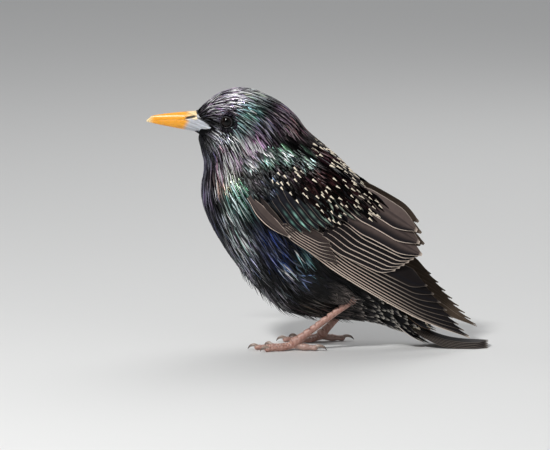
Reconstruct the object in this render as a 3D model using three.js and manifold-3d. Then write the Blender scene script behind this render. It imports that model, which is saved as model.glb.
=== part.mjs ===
// A starling standing at rest, life size, with its tail laid on the ground.
// Millimetres, +Z up, the bill points to -X and the bird's left side is at -Y.
import * as THREE from 'three';
import { mergeVertices } from 'three/addons/utils/BufferGeometryUtils.js';
import Module from 'manifold-3d';

const wasm = await Module();
wasm.setup();

// Clearances and thin places
const GAP = 0.3;
const VANE_THICK = 0.6; // at the shaft; a vane thins to its edges and towards its tip
const SUNK = 0.12; // how far soles and tail are let into the ground plane before the flat is cut

// The body from the bill's root to the tail's root. Each row is one slanted section: its top point x, z,
// its bottom point x, z, its half width, and how full it is (2 is an ellipse).
const BODY = [
  [-49.9, 108.9, -47.6, 99.2, 3.6, 2.2],
  [-45.4, 112.7, -48.8, 97.0, 4.7, 2.3],
  [-40.8, 116.4, -48.0, 93.2, 5.9, 2.4],
  [-35.9, 118.5, -47.2, 89.8, 7.7, 2.4],
  [-29.4, 119.5, -46.4, 86.6, 9.6, 2.5],
  [-23.0, 118.5, -46.0, 83.4, 11.2, 2.5],
  [-16.0, 115.3, -46.3, 79.9, 12.3, 2.5],
  [-10.1, 111.7, -47.0, 76.3, 13.0, 2.5],
  [-4.2, 106.3, -47.1, 71.4, 14.2, 2.4],
  [0.2, 100.3, -46.2, 66.0, 16.4, 2.4],
  [6.4, 94.8, -43.8, 59.6, 19.3, 2.3],
  [13.7, 88.8, -39.6, 51.6, 21.8, 2.3],
  [20.1, 82.4, -33.8, 42.6, 23.0, 2.3],
  [26.5, 75.0, -27.0, 33.7, 23.2, 2.3],
  [31.5, 67.5, -18.5, 24.6, 22.2, 2.2],
  [35.5, 60.0, -9.5, 17.4, 19.8, 2.2],
  [38.7, 52.0, 2.0, 14.6, 16.2, 2.1],
  [41.0, 43.5, 13.0, 13.4, 12.6, 2.1],
  [44.0, 34.5, 24.0, 12.4, 9.6, 2.0],
  [47.8, 25.8, 34.0, 10.8, 7.6, 2.0],
  [51.0, 17.6, 42.6, 7.8, 6.4, 2.0],
  [56.0, 10.4, 51.2, 5.4, 4.8, 2.0],
];
const HEAD_END = 5.6; // cuts between the named parts, as places along the rows above
const NECK_END = 9.4;
const TORSO_END = 18.5;
const RINGS_PER_ROW = 2;
const BODY_SIDES = 24;

// Bill
const BILL_TIP = [-73.1, 104.5];
const BILL_START = 0.4; // the solid starts this far behind the very tip
const BILL_ROOT_X = -46.5;
const CULMEN_ROOT_Z = 109.4;
const GONYS_ROOT_Z = 98.9;
const MOUTH_ROOT_Z = 105.0;
const MOUTH_ARCH = 0.5;
const MOUTH_DROP = 3.2; // how far the mouth line turns down towards the gape
const CULMEN_CURVE = 0.36; // powers of the way back from the tip: under 1 is a convex profile
const GONYS_CURVE = 0.85;
const BILL_WIDENING = 0.82;
const BILL_HALF_WIDTH = 4.1;
const GAPE_WIDER = 1.4;
const BILL_FILLET = 2.1; // fullness of the bill's section
const BILL_SUNK = 4.5; // how far the bill goes into the face
const BILL_STEPS = 8;
const BILL_SIDES = 8;
const NOSTRIL = { x: -52.2, z: 106.9, length: 4.6, height: 0.9, depth: 1.0, side: 3.0, tilt: 6 };

// Eyes
const EYE = { x: -35.6, y: 7.4, z: 104.9, radius: 3.3, opening: 2.6 };
const LID = { wide: 0.75, deep: 1.1, out: 2.4, squash: 0.9, corner: 0.5, around: 18, sides: 6 };
const EYE_SIDES = 16;

// Folded wing: a flat chart with u from the bend to the tip and v across it, upwards, laid on the flank
const WING_BEND = { left: [-28.5, 78.4], right: [-28.5, 75.9] };
const WING_LENGTH = 129.4;
const WING_DROOP = { left: 34.7, right: 31.6 }; // degrees below level
const WING_FLANK = [[-6, 18.6], [0, 20.2], [30, 24.4], [65, 22.0], [91, 16.6], [115, 10.8], [132, 7.2]];
const WING_LOW_EDGE = -8;
const WING_ROUND = 0.011; // how fast the wing turns in over the back
const WING_OFF_BODY = 1.7; // how far the wing's sheet keeps off the body
const WING_SHEET_BLEND = 1.5; // how softly the sheet passes from the open flank to the body
const WING_CORE = {
  start: -5.5, end: 60, thick: 4.2, steps: 11, sides: 6, noseLength: 13,
  low: [3.5, -8.4], high: [4.5, 22.5, 27.5], sunk: -0.6,
};

// Feathers of the wing, set by set. Each set runs from its first feather to its last: root and tip are
// places u, v on the chart, out is the height over the sheet at root and tip
const PRIMARIES = {
  count: 5, roots: [[26, -5.6], [44, 2.5]], tips: [[WING_LENGTH, -0.9], [WING_LENGTH, 7.6]], tipEase: 1.5,
  shorter: (i) => 3.2 * Math.abs(i - 0.5) ** 1.9,
  out: [-1.7, -1.2], width: [6.6, 8.2], tilt: 0.4, blunt: 0.4, bow: [-2.2, 0],
};
const SECONDARIES = {
  count: 4, roots: [[42, 1.5], [48, 14]], tips: [[80.5, 6.5], [85.5, 18]],
  out: [-0.9, -0.5], width: [8.4, 8.4], tilt: 0.3, blunt: 0.25,
};
const TERTIALS = {
  count: 3, roots: [[44, 14], [40, 24]], tips: [[87, 18], [79, 25.4]], stacked: 0.15,
  out: [0.1, 0.5], width: [9.6, 9.6], tilt: 0.2, blunt: 0.3, bow: [1, 1],
};
const GREATER_COVERTS = {
  count: 6, roots: [[19, -1], [38, 21.5]], tips: [[34, -3.2], [56, 22]],
  out: [-0.2, 0.55], width: [7.4, 7.4], tilt: 0.24, blunt: 0.35, stations: 3,
};
const PRIMARY_COVERTS = {
  count: 2, roots: [[26, -6.6], [26, -3]], tips: [[56, -5.6], [50, -0.5]],
  out: [-0.6, -0.1], width: [5.6, 5.6], tilt: 0.24, blunt: 0.35, stations: 4,
};
const ALULA = {
  count: 2, roots: [[4, -2.2], [8, 1.4]], tips: [[31, -7.2], [22, -2.6]],
  out: [0, 0.5], width: [5.2, 4.4], tilt: 0.2, blunt: 0.4, stations: 3, bow: [-1.2, -1.2],
};

// Tail: a centre line that leaves the rump steeply and comes down flat on the ground
const TAIL_ROOT = [34.0, 25.4];
const TAIL_LENGTH = 60.5;
const TAIL_STEEP = 46; // degrees below level at the root
const TAIL_FLAT = 3.5; // degrees below level at the tip
const TAIL_BEND = [0.18, 0.9]; // where along the tail the slope changes
const TAIL_ARCH = 0.02;
const TAIL_PATH_STEPS = 60;
const RECTRICES = { // on each side, the middle one on top
  count: 5, root: 9, rootSide: [0.7, 0.5], tipSide: [1.3, 1.3], shorter: [1.6, 0.1], rootOut: [1.6, 0.4],
  tipOut: 3.1, step: 0.8, width: [8.4, 0.3], blunt: 0.13,
};
const TAIL_COVERTS = {
  above: { count: 4, root: 10, rootSide: 3.5, rootOut: 2.6, tip: (i) => 31 + 3 * (i % 2), tipSide: 5.4,
    tipOut: (i) => 3.9 + 0.35 * (i % 2), width: 6, blunt: 0.4 },
  below: { count: 5, root: 9, rootSide: 3.6, rootOut: -3.5, tip: (i) => 30 + 2.2 * (i % 3), tipSide: 5.2,
    tipOut: (i) => -3.0 - 0.4 * (i % 2), width: 5.6, blunt: 0.45 },
};

// Legs
const LEGS = {
  left: { heel: [21.4, -14.6, 23.4], foot: [-5.0, -12.6, 3.5], knee: [-5, -13.5, 37], turn: -4, mirror: 1 },
  right: { heel: [29.6, 13.4, 27.0], foot: [8.0, 12.4, 3.5], knee: [1, 13, 38], turn: 5, mirror: -1 },
};
const TARSUS = { // where along the tarsus, from the heel on, and how thick
  along: [-0.07, 0, 0.12, 0.5, 0.88, 1],
  radii: [1.2, 2.3, 1.75, 1.55, 1.8, 2.7],
};
const HUB_RADIUS = 2.7;
const SHANK_RADII = [7.5, 7.0, 3.2];
const SHANK_MIDDLE = 0.55;
const TOE = { // the fleshy toe: shares of its root radius at and between the joints, then lengths
  taper: 0.72, joint: 1.06, between: 0.88,
  start: 0.6, arch: 0.35, rootRise: 0.9, tipLength: 0.9, tipRadius: 0.45,
};
const CLAW = { // bent is how much of its length the hook covers along the ground
  sunk: 0.8, bent: 0.8,
  along: [0, 0.4, 0.78, 1], height: [1.3, 2.25, 1.75, 0.35], radii: [0.95, 0.85, 0.55, 0.14],
};
const TOES = [
  // name, heading from straight ahead in degrees on the left foot, fleshy length, root radius, claw length
  { name: 'middle', heading: 0, length: 17.2, radius: 1.75, claw: 6.2 },
  { name: 'inner', heading: -27, length: 12.6, radius: 1.6, claw: 5.4 },
  { name: 'outer', heading: 24, length: 13.2, radius: 1.6, claw: 5.2 },
  { name: 'hind', heading: 176, length: 9.8, radius: 1.9, claw: 7.6 },
];

// Materials
const finish = (color, roughness, metalness) => new THREE.MeshStandardMaterial({ color, roughness, metalness });
const PLUMAGE = finish(0x15171c, 0.42, 0.35);
const WING_FEATHER = finish(0x2c2522, 0.5, 0.1);
const TAIL_FEATHER = finish(0x332a26, 0.5, 0.1);
const FLUFF = finish(0x4a4440, 0.8, 0.0);
const HORN = finish(0xe8a51c, 0.35, 0.0);
const BLUE_HORN = finish(0xd9c27a, 0.38, 0.0);
const EYEBALL = finish(0x0d0907, 0.05, 0.0);
const LEG_SKIN = finish(0xb0705e, 0.5, 0.0);
const CLAW_HORN = finish(0x6d5c50, 0.35, 0.0);

// Small helpers
const radians = (degrees) => degrees * Math.PI / 180;
const mix = (a, b, t) => a + (b - a) * t;
const clamp = (x, low, high) => Math.min(high, Math.max(low, x));
const smooth = (x, from, to) => {
  const t = clamp((x - from) / (to - from), 0, 1);
  return t * t * (3 - 2 * t);
};
const signedPower = (x, p) => Math.sign(x) * Math.abs(x) ** p;

function curveThrough(rows, place) {
  const i = clamp(Math.floor(place), 0, rows.length - 2);
  const t = place - i;
  const at = (k) => rows[clamp(k, 0, rows.length - 1)];
  const [a, b, c, d] = [at(i - 1), at(i), at(i + 1), at(i + 2)];
  return b.map((_, k) => 0.5 * (2 * b[k] + (c[k] - a[k]) * t
    + (2 * a[k] - 5 * b[k] + 4 * c[k] - d[k]) * t * t
    + (3 * b[k] - a[k] - 3 * c[k] + d[k]) * t ** 3));
}

function tableAt(table, x) {
  const last = table.length - 1;
  let i = 0;
  while (i < last - 1 && table[i + 1][0] < x) i += 1;
  const place = i + (x - table[i][0]) / (table[i + 1][0] - table[i][0]);
  return curveThrough(table, clamp(place, 0, last))[1];
}

// Solids from rings of points, the first and last ring closed by a fan
function ringSolid(rings) {
  const sides = rings[0].length;
  const geometry = new THREE.BufferGeometry();
  const points = rings.flat();
  const faces = [];
  for (let i = 0; i + 1 < rings.length; i += 1) {
    for (let k = 0; k < sides; k += 1) {
      const next = (k + 1) % sides;
      const [a, b, c, d] = [i * sides + k, i * sides + next, (i + 1) * sides + next, (i + 1) * sides + k];
      faces.push(a, b, c, a, c, d);
    }
  }
  for (const [ring, turned] of [[0, true], [rings.length - 1, false]]) {
    const hub = points.length;
    const middle = new THREE.Vector3();
    rings[ring].forEach((p) => middle.add(p));
    points.push(middle.divideScalar(sides));
    for (let k = 0; k < sides; k += 1) {
      const a = ring * sides + k;
      const b = ring * sides + (k + 1) % sides;
      faces.push(...(turned ? [hub, b, a] : [hub, a, b]));
    }
  }
  geometry.setFromPoints(points);
  geometry.setIndex(faces);
  return solid(geometry);
}

function solid(source) {
  const bare = source.clone();
  bare.deleteAttribute('normal');
  bare.deleteAttribute('uv');
  const merged = mergeVertices(bare, 1e-4);
  const made = new wasm.Manifold(new wasm.Mesh({
    numProp: 3,
    vertProperties: Float32Array.from(merged.attributes.position.array),
    triVerts: Uint32Array.from(merged.index.array),
  }));
  if (made.volume() > 0) return made;
  const order = Uint32Array.from(merged.index.array);
  for (let i = 0; i < order.length; i += 3) [order[i], order[i + 1]] = [order[i + 1], order[i]];
  return new wasm.Manifold(new wasm.Mesh({
    numProp: 3, vertProperties: Float32Array.from(merged.attributes.position.array), triVerts: order,
  }));
}

const joined = (solids) => solids.reduce((all, one) => all.add(one));
const largest = (made) => made.decompose().reduce((best, one) => (one.volume() > best.volume() ? one : best));

function ball(centre, radius, detail = 14) {
  const geometry = new THREE.SphereGeometry(radius, detail, Math.round(detail * 0.7));
  geometry.translate(...centre);
  return solid(geometry);
}

// A round bar through the points, with a radius at each of them
function bar(points, radii, sides = 8, steps = 3) {
  const rings = [];
  const count = (points.length - 1) * steps;
  const rows = points.map((p, i) => [...p, radii[i]]);
  const at = (i) => curveThrough(rows, i / steps);
  for (let i = 0; i <= count; i += 1) {
    const [x, y, z, r] = at(i);
    const [ahead, behind] = [at(Math.min(i + 1, count)), at(Math.max(i - 1, 0))];
    const along = new THREE.Vector3(ahead[0] - behind[0], ahead[1] - behind[1], ahead[2] - behind[2]).normalize();
    const side = new THREE.Vector3(0, 0, 1).cross(along).normalize();
    const up = along.clone().cross(side);
    rings.push(Array.from({ length: sides }, (_, k) => {
      const a = (k + 0.5) * 2 * Math.PI / sides;
      return new THREE.Vector3(x, y, z).addScaledVector(side, r * Math.cos(a)).addScaledVector(up, r * Math.sin(a));
    }));
  }
  return ringSolid(rings);
}

// Everything on one side of a plane through a point
function halfSpace(point, normal, size = 400) {
  const geometry = new THREE.BoxGeometry(size, size, size);
  geometry.translate(0, 0, size / 2);
  geometry.applyQuaternion(new THREE.Quaternion().setFromUnitVectors(
    new THREE.Vector3(0, 0, 1), new THREE.Vector3(...normal).normalize()));
  geometry.translate(...point);
  return solid(geometry);
}
const aboveGround = halfSpace([0, 0, 0], [0, 0, 1]);

// Body: one lofted form, then cut into head, neck, torso and the root of the tail
function bodySection(place, grow) {
  const [topX, topZ, lowX, lowZ, halfWidth, full] = curveThrough(BODY, place);
  const height = Math.hypot(topX - lowX, topZ - lowZ) / 2;
  return {
    middle: new THREE.Vector3((topX + lowX) / 2, 0, (topZ + lowZ) / 2),
    up: new THREE.Vector3(topX - lowX, 0, topZ - lowZ).normalize(),
    height: height + grow,
    halfWidth: halfWidth + grow,
    full,
  };
}

function bodySolid(grow = 0) {
  const rings = [];
  const count = (BODY.length - 1) * RINGS_PER_ROW;
  for (let i = 0; i <= count; i += 1) {
    const s = bodySection(i / RINGS_PER_ROW, grow);
    rings.push(Array.from({ length: BODY_SIDES }, (_, k) => {
      const a = (k + 0.5) * 2 * Math.PI / BODY_SIDES;
      return s.middle.clone()
        .add(new THREE.Vector3(0, s.halfWidth * signedPower(Math.cos(a), 2 / s.full), 0))
        .addScaledVector(s.up, s.height * signedPower(Math.sin(a), 2 / s.full));
    }));
  }
  return ringSolid(rings);
}

// How far the body reaches to each side at a place of its side view
const SECTIONS = Array.from({ length: BODY.length * 4 - 3 }, (_, i) => bodySection(i / 4, 0));
function bodyReach(x, z) {
  let reach = 0;
  let last = null;
  for (const s of SECTIONS) {
    const [dx, dz] = [x - s.middle.x, z - s.middle.z];
    const here = { off: dx * s.up.z - dz * s.up.x, high: Math.abs(dx * s.up.x + dz * s.up.z) / s.height, s };
    if (last && last.off * here.off <= 0) {
      const t = last.off / (last.off - here.off || 1);
      const high = mix(last.high, here.high, t);
      const full = mix(last.s.full, s.full, t);
      const wide = mix(last.s.halfWidth, s.halfWidth, t);
      if (high < 1) reach = Math.max(reach, wide * (1 - high ** full) ** (1 / full));
    }
    last = here;
  }
  return reach;
}

// The plane of a section, as a point and the direction towards the tail
function cutPlane(place, shift) {
  const s = bodySection(place, 0);
  const ahead = bodySection(place + 0.1, 0).middle.sub(s.middle).normalize();
  const normal = new THREE.Vector3(s.up.z, 0, -s.up.x);
  if (normal.dot(ahead) < 0) normal.negate();
  return { point: s.middle.addScaledVector(normal, shift).toArray(), normal: normal.toArray() };
}
const behindCut = (place) => {
  const { point, normal } = cutPlane(place, GAP / 2);
  return halfSpace(point, normal);
};
const beforeCut = (place) => {
  const { point, normal } = cutPlane(place, -GAP / 2);
  return halfSpace(point, normal.map((n) => -n));
};

// Bill: two halves that meet along the mouth line
function billRings(upper, grow) {
  const sign = upper ? 1 : -1;
  return Array.from({ length: BILL_STEPS + 1 }, (_, i) => {
    const x = mix(BILL_TIP[0] + BILL_START, BILL_ROOT_X + BILL_SUNK, i / BILL_STEPS);
    const back = clamp((x - BILL_TIP[0]) / (BILL_ROOT_X - BILL_TIP[0]), 0.02, 1.2);
    const arch = MOUTH_ARCH * Math.sin(Math.PI * Math.min(back, 1));
    const mouth = mix(BILL_TIP[1], MOUTH_ROOT_Z, back) + arch - MOUTH_DROP * smooth(back, 0.6, 1.3);
    const culmen = mix(BILL_TIP[1], CULMEN_ROOT_Z, back ** CULMEN_CURVE * Math.sqrt(Math.min(back * 10, 1)));
    const rim = upper ? culmen : mix(BILL_TIP[1] - 0.2, GONYS_ROOT_Z, back ** GONYS_CURVE);
    const base = mouth + sign * (GAP / 2 - grow);
    const height = Math.max(Math.abs(rim - mouth), 0.35) - GAP / 2 + 2 * grow;
    const half = BILL_HALF_WIDTH * back ** BILL_WIDENING + GAPE_WIDER * smooth(back, 0.85, 1.2) + grow;
    const shift = (i === 0 ? -grow : 0) + (i === BILL_STEPS ? grow : 0);
    return Array.from({ length: BILL_SIDES + 1 }, (__, k) => {
      const a = Math.PI * k / BILL_SIDES;
      return new THREE.Vector3(x + shift, half * signedPower(Math.cos(a), 2 / BILL_FILLET),
        base + sign * height * signedPower(Math.sin(a), 2 / BILL_FILLET));
    });
  });
}

function nostrilCutter(side) {
  const geometry = new THREE.SphereGeometry(1, 10, 6);
  geometry.scale(NOSTRIL.length / 2, NOSTRIL.depth, NOSTRIL.height / 2);
  geometry.rotateY(radians(NOSTRIL.tilt));
  geometry.translate(NOSTRIL.x, side * NOSTRIL.side, NOSTRIL.z);
  return solid(geometry);
}

function bill(upper) {
  let made = ringSolid(billRings(upper, 0));
  if (upper) made = made.subtract(nostrilCutter(-1)).subtract(nostrilCutter(1));
  return largest(made);
}

// Lids: two raised crescents round the eye's opening, which leave the ball showing between them
function lids(side) {
  const rings = [];
  for (let i = 0; i < LID.around; i += 1) {
    const a = 2 * Math.PI * i / LID.around;
    const across = new THREE.Vector3(Math.cos(a), 0, Math.sin(a) * LID.squash);
    const middle = new THREE.Vector3(EYE.x, side * (EYE.y + LID.out), EYE.z)
      .addScaledVector(across, EYE.opening + GAP);
    rings.push(Array.from({ length: LID.sides }, (_, k) => {
      const b = 2 * Math.PI * k / LID.sides;
      const out = LID.deep * Math.sin(b) - LID.corner * Math.abs(Math.cos(a));
      return middle.clone().addScaledVector(across, LID.wide * Math.cos(b)).add(new THREE.Vector3(0, side * out, 0));
    }));
  }
  const geometry = new THREE.BufferGeometry();
  geometry.setFromPoints(rings.flat());
  const faces = [];
  for (let i = 0; i < LID.around; i += 1) {
    for (let k = 0; k < LID.sides; k += 1) {
      const [here, there] = [i * LID.sides, (i + 1) % LID.around * LID.sides];
      const next = (k + 1) % LID.sides;
      faces.push(here + k, here + next, there + next, here + k, there + next, there + k);
    }
  }
  geometry.setIndex(faces);
  return solid(geometry);
}

function head(whole) {
  let made = whole.intersect(beforeCut(HEAD_END));
  for (const side of [-1, 1]) {
    made = made.add(lids(side)).subtract(ball([EYE.x, side * EYE.y, EYE.z], EYE.radius + GAP, EYE_SIDES));
  }
  return largest(made.subtract(ringSolid(billRings(true, GAP))).subtract(ringSolid(billRings(false, GAP))));
}

const eye = (side) => ball([EYE.x, side * EYE.y, EYE.z], EYE.radius, EYE_SIDES);

// A sheet that feathers lie on: at(a, b, out) is a point, a along the feathers, b across, out off the sheet
function wingSheet(side) {
  const name = side < 0 ? 'left' : 'right';
  const [bendX, bendZ] = WING_BEND[name];
  const droop = radians(WING_DROOP[name]);
  const along = new THREE.Vector3(Math.cos(droop), 0, -Math.sin(droop));
  const across = new THREE.Vector3(Math.sin(droop), 0, Math.cos(droop));
  const outward = new THREE.Vector3(0, side, 0);
  const flank = (u, v) => {
    const x = bendX + along.x * u + across.x * v;
    const z = bendZ + along.z * u + across.z * v;
    const free = tableAt(WING_FLANK, u) - WING_ROUND * (v - WING_LOW_EDGE) ** 2;
    const laid = bodyReach(x, z) + WING_OFF_BODY;
    return (free + laid + Math.hypot(free - laid, WING_SHEET_BLEND)) / 2;
  };
  return (u, v, out) => {
    const slopeU = flank(u + 0.5, v) - flank(u - 0.5, v);
    const slopeV = flank(u, v + 0.5) - flank(u, v - 0.5);
    const off = outward.clone().addScaledVector(along, -slopeU).addScaledVector(across, -slopeV).normalize();
    return new THREE.Vector3(bendX, 0, bendZ).addScaledVector(along, u).addScaledVector(across, v)
      .addScaledVector(outward, flank(u, v)).addScaledVector(off, out);
  };
}

// One feather: a flat vane with its ridge along the shaft. from and to are [a, b, out] on the sheet, and
// tilt lifts its low edge off the sheet, so that the next one up lies over it
function vane(sheet, { from, to, width, tilt = 0.2, blunt = 0.25, bow = 0, stations = 5 }) {
  const rings = [];
  const length = Math.hypot(to[0] - from[0], to[1] - from[1]);
  const aim = [(to[0] - from[0]) / length, (to[1] - from[1]) / length];
  for (let i = 0; i <= stations; i += 1) {
    const t = i / stations;
    const wide = width / 2 * (0.45 + 0.55 * smooth(t, 0, 0.35)) * Math.sqrt(1 - 0.93 * smooth(t, 1 - blunt, 1));
    const thick = VANE_THICK / 2 * (1 - 0.45 * t);
    const sway = bow * Math.sin(Math.PI * t);
    const a = mix(from[0], to[0], t) - aim[1] * sway;
    const b = mix(from[1], to[1], t) + aim[0] * sway;
    const out = mix(from[2], to[2], t);
    const point = (w, h) => sheet(a - aim[1] * w, b + aim[0] * w, out - tilt * w + h);
    rings.push([point(-wide, 0), point(0, -thick), point(wide, 0), point(0, thick)]);
  }
  return ringSolid(rings);
}

// The flesh and small coverts of the wing, from the bend back, which the feathers root in
function wingCore(sheet) {
  const { sides, low, high } = WING_CORE;
  const rings = [];
  for (let i = 0; i <= WING_CORE.steps; i += 1) {
    const u = mix(WING_CORE.start, WING_CORE.end, i / WING_CORE.steps);
    const nose = Math.sqrt(1 - (1 - clamp((u - WING_CORE.start + 0.4) / WING_CORE.noseLength, 0, 1)) ** 2);
    const bottom = mix(low[0], low[1], 0.6 * nose + 0.4 * smooth(u, -5, 17));
    const top = mix(high[0], mix(high[1], high[2], smooth(u, 15, 40)), nose);
    const middle = (bottom + top) / 2;
    const half = (top - bottom) / 2 * (1 - 0.35 * smooth(u, 45, 60));
    const thick = WING_CORE.thick * mix(1, 0.35, smooth(u, 20, 60)) * mix(0.3, 1, nose);
    const ring = [];
    for (const out of [1, -1]) {
      for (let k = 0; k <= sides; k += 1) {
        const w = out * (1 - 2 * k / sides);
        const deep = thick * mix(0.12, 1, Math.sqrt(1 - w * w));
        ring.push(sheet(u, middle + half * w, WING_CORE.sunk + (out > 0 ? 0.28 : -0.72) * deep));
      }
    }
    rings.push(ring);
  }
  return ringSolid(rings);
}

const spread = (count, make) => Array.from({ length: count }, (_, i) => make(count > 1 ? i / (count - 1) : 0, i));

function featherSet(sheet, set) {
  const between = ([first, last], t) => first.map((value, k) => mix(value, last[k], t));
  return spread(set.count, (t, i) => {
    const [rootU, rootV] = between(set.roots, t);
    const [tipU] = between(set.tips, t);
    const [, tipV] = between(set.tips, t ** (set.tipEase ?? 1));
    return vane(sheet, {
      from: [rootU, rootV, set.out[0]],
      to: [tipU - (set.shorter?.(i) ?? 0), tipV, set.out[1] + (set.stacked ?? 0) * i],
      width: mix(...set.width, t),
      tilt: set.tilt,
      blunt: set.blunt,
      bow: mix(...(set.bow ?? [0, 0]), t),
      stations: set.stations,
    });
  });
}

function wing(side, bodyClear) {
  const sheet = wingSheet(side);
  const sets = [PRIMARIES, SECONDARIES, TERTIALS, GREATER_COVERTS, PRIMARY_COVERTS, ALULA];
  const feathers = sets.flatMap((set) => featherSet(sheet, set));
  return largest(joined([wingCore(sheet), ...feathers]).subtract(bodyClear));
}

// Tail
function tailSheet() {
  const steps = TAIL_PATH_STEPS;
  const path = [[...TAIL_ROOT, 0]];
  for (let i = 0; i < steps * 1.1; i += 1) {
    const t = (i + 0.5) / steps;
    const slope = radians(mix(TAIL_STEEP, TAIL_FLAT, smooth(t, ...TAIL_BEND)));
    const [x, z] = path[i];
    path.push([x + Math.cos(slope) * TAIL_LENGTH / steps, z - Math.sin(slope) * TAIL_LENGTH / steps, slope]);
  }
  path[0][2] = path[1][2];
  return (along, across, out) => {
    const [x, z, slope] = curveThrough(path, clamp(along / TAIL_LENGTH * steps, 0, path.length - 1));
    const off = out - TAIL_ARCH * across * across;
    return new THREE.Vector3(x + Math.sin(slope) * off, across, z + Math.cos(slope) * off);
  };
}

function tail(whole) {
  const sheet = tailSheet();
  const r = RECTRICES;
  const feathers = [];
  for (const side of [-1, 1]) {
    for (let i = r.count - 1; i >= 0; i -= 1) {
      const lower = r.step * (i + (side > 0 ? 0.5 : 0));
      feathers.push(vane(sheet, {
        from: [r.root, side * (r.rootSide[0] + r.rootSide[1] * i), r.rootOut[0] - r.rootOut[1] * i],
        to: [TAIL_LENGTH - r.shorter[0] - r.shorter[1] * i, side * (r.tipSide[0] + r.tipSide[1] * i), r.tipOut - lower],
        width: r.width[0] - r.width[1] * i, tilt: 0, blunt: r.blunt,
      }));
    }
  }
  const coverts = [TAIL_COVERTS.above, TAIL_COVERTS.below].flatMap((c) => spread(c.count, (t, i) => vane(sheet, {
    from: [c.root, mix(-c.rootSide, c.rootSide, t), c.rootOut],
    to: [c.tip(i), mix(-c.tipSide, c.tipSide, t), c.tipOut(i)],
    width: c.width, tilt: 0, blunt: c.blunt, stations: 3,
  })));
  const root = whole.intersect(behindCut(TORSO_END));
  const feathered = joined([root, ...feathers, ...coverts]).intersect(behindCut(TORSO_END));
  return largest(feathered.intersect(aboveGround));
}

// Legs
function thigh(leg, bodyClear, others) {
  const middle = leg.knee.map((k, i) => mix(k, leg.heel[i], SHANK_MIDDLE));
  const shank = bar([leg.knee, middle, leg.heel], SHANK_RADII, 12, 3);
  return largest(others.reduce((made, one) => made.subtract(one), shank.subtract(bodyClear)));
}

function tarsusSolid(leg, grow) {
  const points = TARSUS.along.map((t) => leg.heel.map((h, i) => mix(h, leg.foot[i], t)));
  return bar(points, TARSUS.radii.map((r) => r + grow), 8, 1).add(ball(leg.foot, HUB_RADIUS + grow, 10));
}

function toePath(leg, toe) {
  const yaw = radians(toe.heading * leg.mirror + leg.turn);
  return (distance, z) => [
    leg.foot[0] - Math.cos(yaw) * distance, leg.foot[1] - Math.sin(yaw) * distance, z];
}

// The fleshy toe: swells at each joint, and lies on its pads
function toeBar(leg, toe, grow) {
  const at = toePath(leg, toe);
  const joints = toe.name === 'middle' ? 3 : 2;
  const points = [];
  const radii = [];
  for (let i = 0; i <= joints * 2; i += 1) {
    const t = i / (joints * 2);
    const between = i % 2 === 1;
    const r = mix(toe.radius, toe.radius * TOE.taper, t) * (between ? TOE.between : TOE.joint);
    const rise = TOE.rootRise * (1 - smooth(t, 0, 0.35)) + (between ? TOE.arch : 0);
    points.push(at(mix(TOE.start, toe.length, t), r - SUNK + rise));
    radii.push(r + grow);
  }
  points.push(at(toe.length + TOE.tipLength, toe.radius * TOE.taper));
  radii.push(TOE.tipRadius + grow);
  return bar(points, radii, 8, 1);
}

function clawBar(leg, toe) {
  const at = toePath(leg, toe);
  const points = CLAW.along.map((t, i) => at(toe.length - CLAW.sunk + t * toe.claw * CLAW.bent, CLAW.height[i]));
  return bar(points, CLAW.radii, 6, 2);
}

// Assembly
const group = new THREE.Group();

function add(name, made, material) {
  const mesh = made.getMesh();
  const geometry = new THREE.BufferGeometry();
  geometry.setAttribute('position', new THREE.BufferAttribute(Float32Array.from(mesh.vertProperties), 3));
  geometry.setIndex(new THREE.BufferAttribute(Uint32Array.from(mesh.triVerts), 1));
  geometry.computeVertexNormals();
  const node = new THREE.Mesh(geometry, material);
  node.name = name;
  group.add(node);
  return made;
}

const whole = bodySolid();
const bodyClear = bodySolid(GAP);
const tailMade = tail(whole);

add('head', head(whole), PLUMAGE);
add('neck', largest(whole.intersect(behindCut(HEAD_END)).intersect(beforeCut(NECK_END))), PLUMAGE);
const torso = whole.intersect(behindCut(NECK_END)).intersect(beforeCut(TORSO_END));
add('torso', largest(torso), PLUMAGE);
add('tail', tailMade, TAIL_FEATHER);
add('bill_upper', bill(true), HORN);
add('bill_lower', bill(false), BLUE_HORN);

for (const [name, side] of [['left', -1], ['right', 1]]) {
  add(`eye_${name}`, eye(side), EYEBALL);
  const wingMade = add(`wing_${name}`, wing(side, bodyClear), WING_FEATHER);
  const leg = LEGS[name];
  const tarsus = tarsusSolid(leg, 0);
  const thighMade = thigh(leg, bodyClear, [wingMade, tarsusSolid(leg, GAP)]);
  add(`thigh_${name}`, thighMade, FLUFF);
  add(`tarsus_${name}`, largest(tarsus.subtract(bodyClear).intersect(aboveGround)), LEG_SKIN);
  let taken = tarsusSolid(leg, GAP);
  for (const toe of TOES) {
    const fleshy = largest(toeBar(leg, toe, 0).subtract(taken).intersect(aboveGround));
    taken = taken.add(toeBar(leg, toe, GAP));
    add(`toe_${toe.name}_${name}`, fleshy, LEG_SKIN);
    add(`claw_${toe.name}_${name}`,
      largest(clawBar(leg, toe).subtract(toeBar(leg, toe, GAP)).intersect(aboveGround)), CLAW_HORN);
  }
}

// The origin is at the middle of the model's box, on the ground
const extent = new THREE.Box3().setFromObject(group);
const centre = extent.getCenter(new THREE.Vector3());
group.position.set(-centre.x, -centre.y, 0);

export default group;
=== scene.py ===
import math

import bpy
import numpy as np
from mathutils import Matrix, Vector, kdtree


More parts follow.
